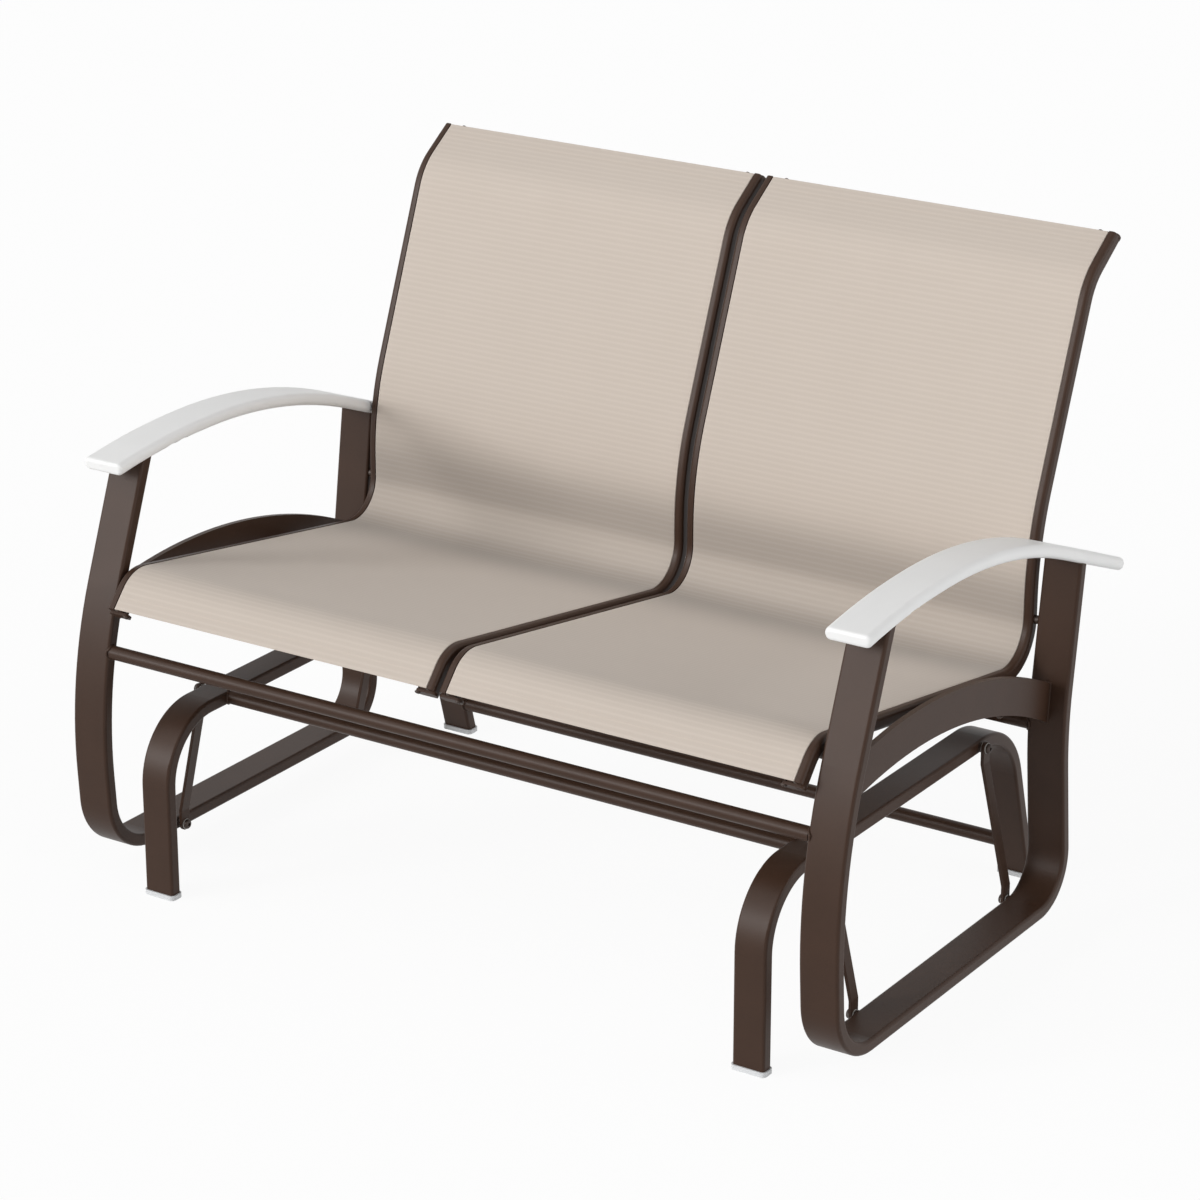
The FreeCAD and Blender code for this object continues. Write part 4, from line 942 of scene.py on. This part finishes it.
@dataclass
class Welds:
    """All weld beads, as one piece for the base and one for the hanging seat frame."""

    finish: bpy.types.Material

    def build(self) -> list[bpy.types.Object]:
        """Make the beads and put each piece on its body.

        Returns:
            The base's piece and the seat frame's piece.
        """
        tubes = [
            TubeWeld("base_front_tube", "base", 0.0, 9.5 * MM, 4 * MM),
            TubeWeld("base_rear_tube", "base", 106.0, 9.5 * MM, 4 * MM),
            TubeWeld("glider_front_tube", "glider", 94.0, 9.25 * MM, 4.5 * MM),
            TubeWeld("glider_rear_tube", "glider", 90.0, 9.25 * MM, 4.5 * MM),
            TubeWeld("seat_bar_front", "glider", 0.0, 30 * MM, 0.0),
            TubeWeld("seat_bar_rear", "glider", 0.0, 30 * MM, 0.0),
        ]
        arches = [ArchWeld("left"), ArchWeld("right")]
        made = []
        for body in ("base", "glider"):
            grids = [grid for tube in tubes if tube.body == body for grid in tube.rings()]
            if body == "glider":
                grids += [grid for arch in arches for grid in arch.loops()]
            made.append(self.piece(f"weld_beads_{body}", body, grids))
        return made

    def piece(self, name: str, body: str, grids: list[np.ndarray]) -> bpy.types.Object:
        """Join closed grids into one piece whose faces point outwards.

        Args:
            name: the piece's name.
            body: the body that it rides on.
            grids: points (around, section, 3) of each bead.

        Returns:
            The piece.
        """
        points, faces, count = [], [], 0
        for grid in grids:
            around, section, _ = grid.shape
            points.append(grid.reshape(-1, 3))
            faces.append(Piece.quads(around, section, wrap_rows=True, wrap_columns=True) + count)
            count += around * section
        made = Piece.mesh(name, np.concatenate(points), np.concatenate(faces))
        bpy.context.view_layer.objects.active = made
        made.select_set(True)
        bpy.ops.object.mode_set(mode="EDIT")
        bpy.ops.mesh.select_all(action="SELECT")
        bpy.ops.mesh.normals_make_consistent(inside=False)
        bpy.ops.object.mode_set(mode="OBJECT")
        made.select_set(False)
        made.data.materials.append(self.finish)
        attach(made, body)
        return made


@dataclass(frozen=True)
class Lamp:
    """A far soft lamp.

    Its level is how bright it makes a white surface that faces it, where 1 is white. Its azimuth,
    elevation and spread, which is how wide it looks from the bench, are in degrees.
    """

    name: str
    level: float
    azimuth: float
    elevation: float
    spread: float


@dataclass
class Studio:
    """Pale floor, plain light and the camera.

    The camera stands at stand and looks from that azimuth and elevation, in degrees. Ambient is
    the level of the even light, and shadow_share is how much of the floor's shading is seen.
    """

    azimuth: float = 33.31
    elevation: float = 20.77
    stand: tuple[float, float, float] = (2.834, -4.3303, 2.382)
    lens: float = 119.34
    sensor: float = 36.0
    far_clip: float = 200.0
    ambient: float = 0.26
    lamps: tuple[Lamp, ...] = (
        Lamp("key", 0.545, -32.0, 26.0, 80),
        Lamp("sheen", 0.42, -34.0, 20.0, 18),
        Lamp("side", 0.50, 100.0, 10.0, 60),
        Lamp("upper", 0.06, 80.0, 50.0, 60),
    )
    floor_radius: float = 40.0
    floor_points: int = 64
    floor_paint: Colour = (0.9, 0.9, 0.9)
    shadow_share: float = 0.07

    def direction(self, azimuth: float, elevation: float) -> np.ndarray:
        """Turn an azimuth and an elevation into a direction.

        Args:
            azimuth: degrees from the front towards the bench's +X side.
            elevation: degrees above the floor.

        Returns:
            The unit direction from the bench, (3,).
        """
        turn, rise = math.radians(azimuth), math.radians(elevation)
        level = math.cos(rise)
        return np.array((math.sin(turn) * level, -math.cos(turn) * level, math.sin(rise)))

    def seen(self, desk: Desk) -> Signal:
        """Tell the rays that see the background from the rays that light the bench.

        Args:
            desk: the desk of the material or world.

        Returns:
            1 for the first kind and 0 for the second.
        """
        total = None
        for ray in Ray:
            signal = desk.node("ShaderNodeLightPath", output=ray.value)
            total = signal if total is None else desk.math("MAXIMUM", total, signal)
        return total

    def floor(self) -> None:
        """Lay a white round floor that keeps part of the shadow."""
        angle = np.linspace(0, 2 * math.pi, self.floor_points, endpoint=False)
        rim = np.stack((np.cos(angle), np.sin(angle), 0 * angle), -1) * self.floor_radius
        data = bpy.data.meshes.new("floor")
        data.from_pydata(rim.tolist(), [], [list(range(self.floor_points))])
        made = bpy.data.objects.new("floor", data)
        bpy.context.scene.collection.objects.link(made)
        material = bpy.data.materials.new("floor_paint")
        material.use_nodes = True
        desk = Desk(material.node_tree)
        paint = desk.node("ShaderNodeBsdfDiffuse", {}, {"Color": (*self.floor_paint, 1)})
        white = desk.node("ShaderNodeEmission", {}, {"Color": (1, 1, 1, 1), "Strength": 1.0})
        share = self.seen(desk) * (1 - self.shadow_share)
        desk.finish(desk.node("ShaderNodeMixShader", {}, {0: share, 1: paint, 2: white}))
        made.data.materials.append(material)

    def world(self) -> None:
        """Light the bench evenly from all round, with white behind it."""
        world = bpy.data.worlds.new("studio")
        world.use_nodes = True
        bpy.context.scene.world = world
        desk = Desk(world.node_tree)
        light, white = (
            desk.node("ShaderNodeBackground", {}, {"Color": (1, 1, 1, 1), "Strength": level})
            for level in (self.ambient, 1.0)
        )
        mixed = desk.node("ShaderNodeMixShader", {}, {0: self.seen(desk), 1: light, 2: white})
        desk.finish(mixed, "ShaderNodeOutputWorld")

    def hang(self, lamp: Lamp) -> None:
        """Add a lamp to the scene.

        Args:
            lamp: the lamp to add.
        """
        data = bpy.data.lights.new(lamp.name, "SUN")
        data.energy = lamp.level * math.pi
        data.angle = math.radians(lamp.spread)
        made = bpy.data.objects.new(lamp.name, data)
        bpy.context.scene.collection.objects.link(made)
        away = self.direction(lamp.azimuth, lamp.elevation)
        made.rotation_euler = Matrix(self.frame(away)).to_4x4().to_euler()

    def frame(self, back: np.ndarray) -> list[list[float]]:
        """Work out the turn of something that looks against a direction, level from side to side.

        Args:
            back: the unit direction behind it, (3,).

        Returns:
            A rotation matrix as three rows.
        """
        right = np.cross((0, 0, 1), back)
        right /= np.linalg.norm(right)
        return np.stack((right, np.cross(back, right), back), -1).tolist()

    def camera(self) -> None:
        """Put the camera at the photograph's place."""
        data = bpy.data.cameras.new("camera")
        data.sensor_width = self.sensor
        data.lens = self.lens
        data.clip_end = self.far_clip
        made = bpy.data.objects.new("camera", data)
        bpy.context.scene.collection.objects.link(made)
        turn = Matrix(self.frame(self.direction(self.azimuth, self.elevation))).to_4x4()
        made.matrix_world = Matrix.Translation(self.stand) @ turn
        bpy.context.scene.camera = made

    def build(self) -> None:
        """Build the whole studio."""
        self.floor()
        self.world()
        for lamp in self.lamps:
            self.hang(lamp)
        self.camera()
        bpy.context.scene.view_settings.view_transform = "Standard"


@dataclass
class Wardrobe:
    """The finishes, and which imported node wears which."""

    paint: bpy.types.Material = field(default_factory=PowderCoat("frame_powder_coat").make)
    weave: bpy.types.Material = field(default_factory=SlingWeave("sling_weave").make)
    thread: bpy.types.Material = field(
        default_factory=MouldedResin("hem_thread", (0.50, 0.43, 0.37), (0.60, 0.52, 0.45), 0.7).make
    )
    arm: bpy.types.Material = field(default_factory=MouldedResin("armrest_resin").make)
    glide: bpy.types.Material = field(
        default_factory=MouldedResin("glide_nylon", (0.55, 0.56, 0.57), (0.66, 0.67, 0.68), 0.35).make
    )
    bush: bpy.types.Material = field(
        default_factory=MouldedResin("bush_nylon", (0.50, 0.49, 0.46), (0.60, 0.59, 0.56), 0.4).make
    )
    cord: bpy.types.Material = field(
        default_factory=MouldedResin("slot_cord", (0.10, 0.085, 0.075), (0.14, 0.12, 0.105), 0.5).make
    )
    coated: bpy.types.Material = field(default_factory=TurnedSteel("coated_steel").make)

    def for_slot(self, slot: str) -> bpy.types.Material:
        """Find the finish for a material slot.

        Args:
            slot: the slot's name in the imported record.

        Returns:
            The finish.
        """
        return {
            "frame_paint": self.paint, "armrest": self.arm, "foot_glide": self.glide, "bush": self.bush,
            "sling_fabric": self.weave, "spline_cord": self.cord, "dark_fastener": self.coated,
        }[slot]

    def dress(self, frame: dict) -> None:
        """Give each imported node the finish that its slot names.

        Args:
            frame: the loaded frame, with its record and its nodes.
        """
        for part in frame["record"]["subparts"]:
            node = frame["nodes"][part["node"]]
            node.data.materials.clear()
            node.data.materials.append(self.for_slot(part["material_slot"]))
            log.info("dressed %s", part["node"])


def main() -> None:
    """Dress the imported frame, make the cloth and the welds, and set up the studio."""
    logging.basicConfig(level=logging.INFO, format="%(name)s: %(message)s")
    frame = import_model()
    wardrobe = Wardrobe()
    wardrobe.dress(frame)
    made = []
    for side in ("left", "right"):
        made += Sling(side, wardrobe.weave, wardrobe.thread).build()
    made += Welds(wardrobe.paint).build()
    for piece in made:
        log.info("made %s with %d faces", piece.name, len(piece.data.polygons))
    Studio().build()


if __name__ == "__main__":
    main()
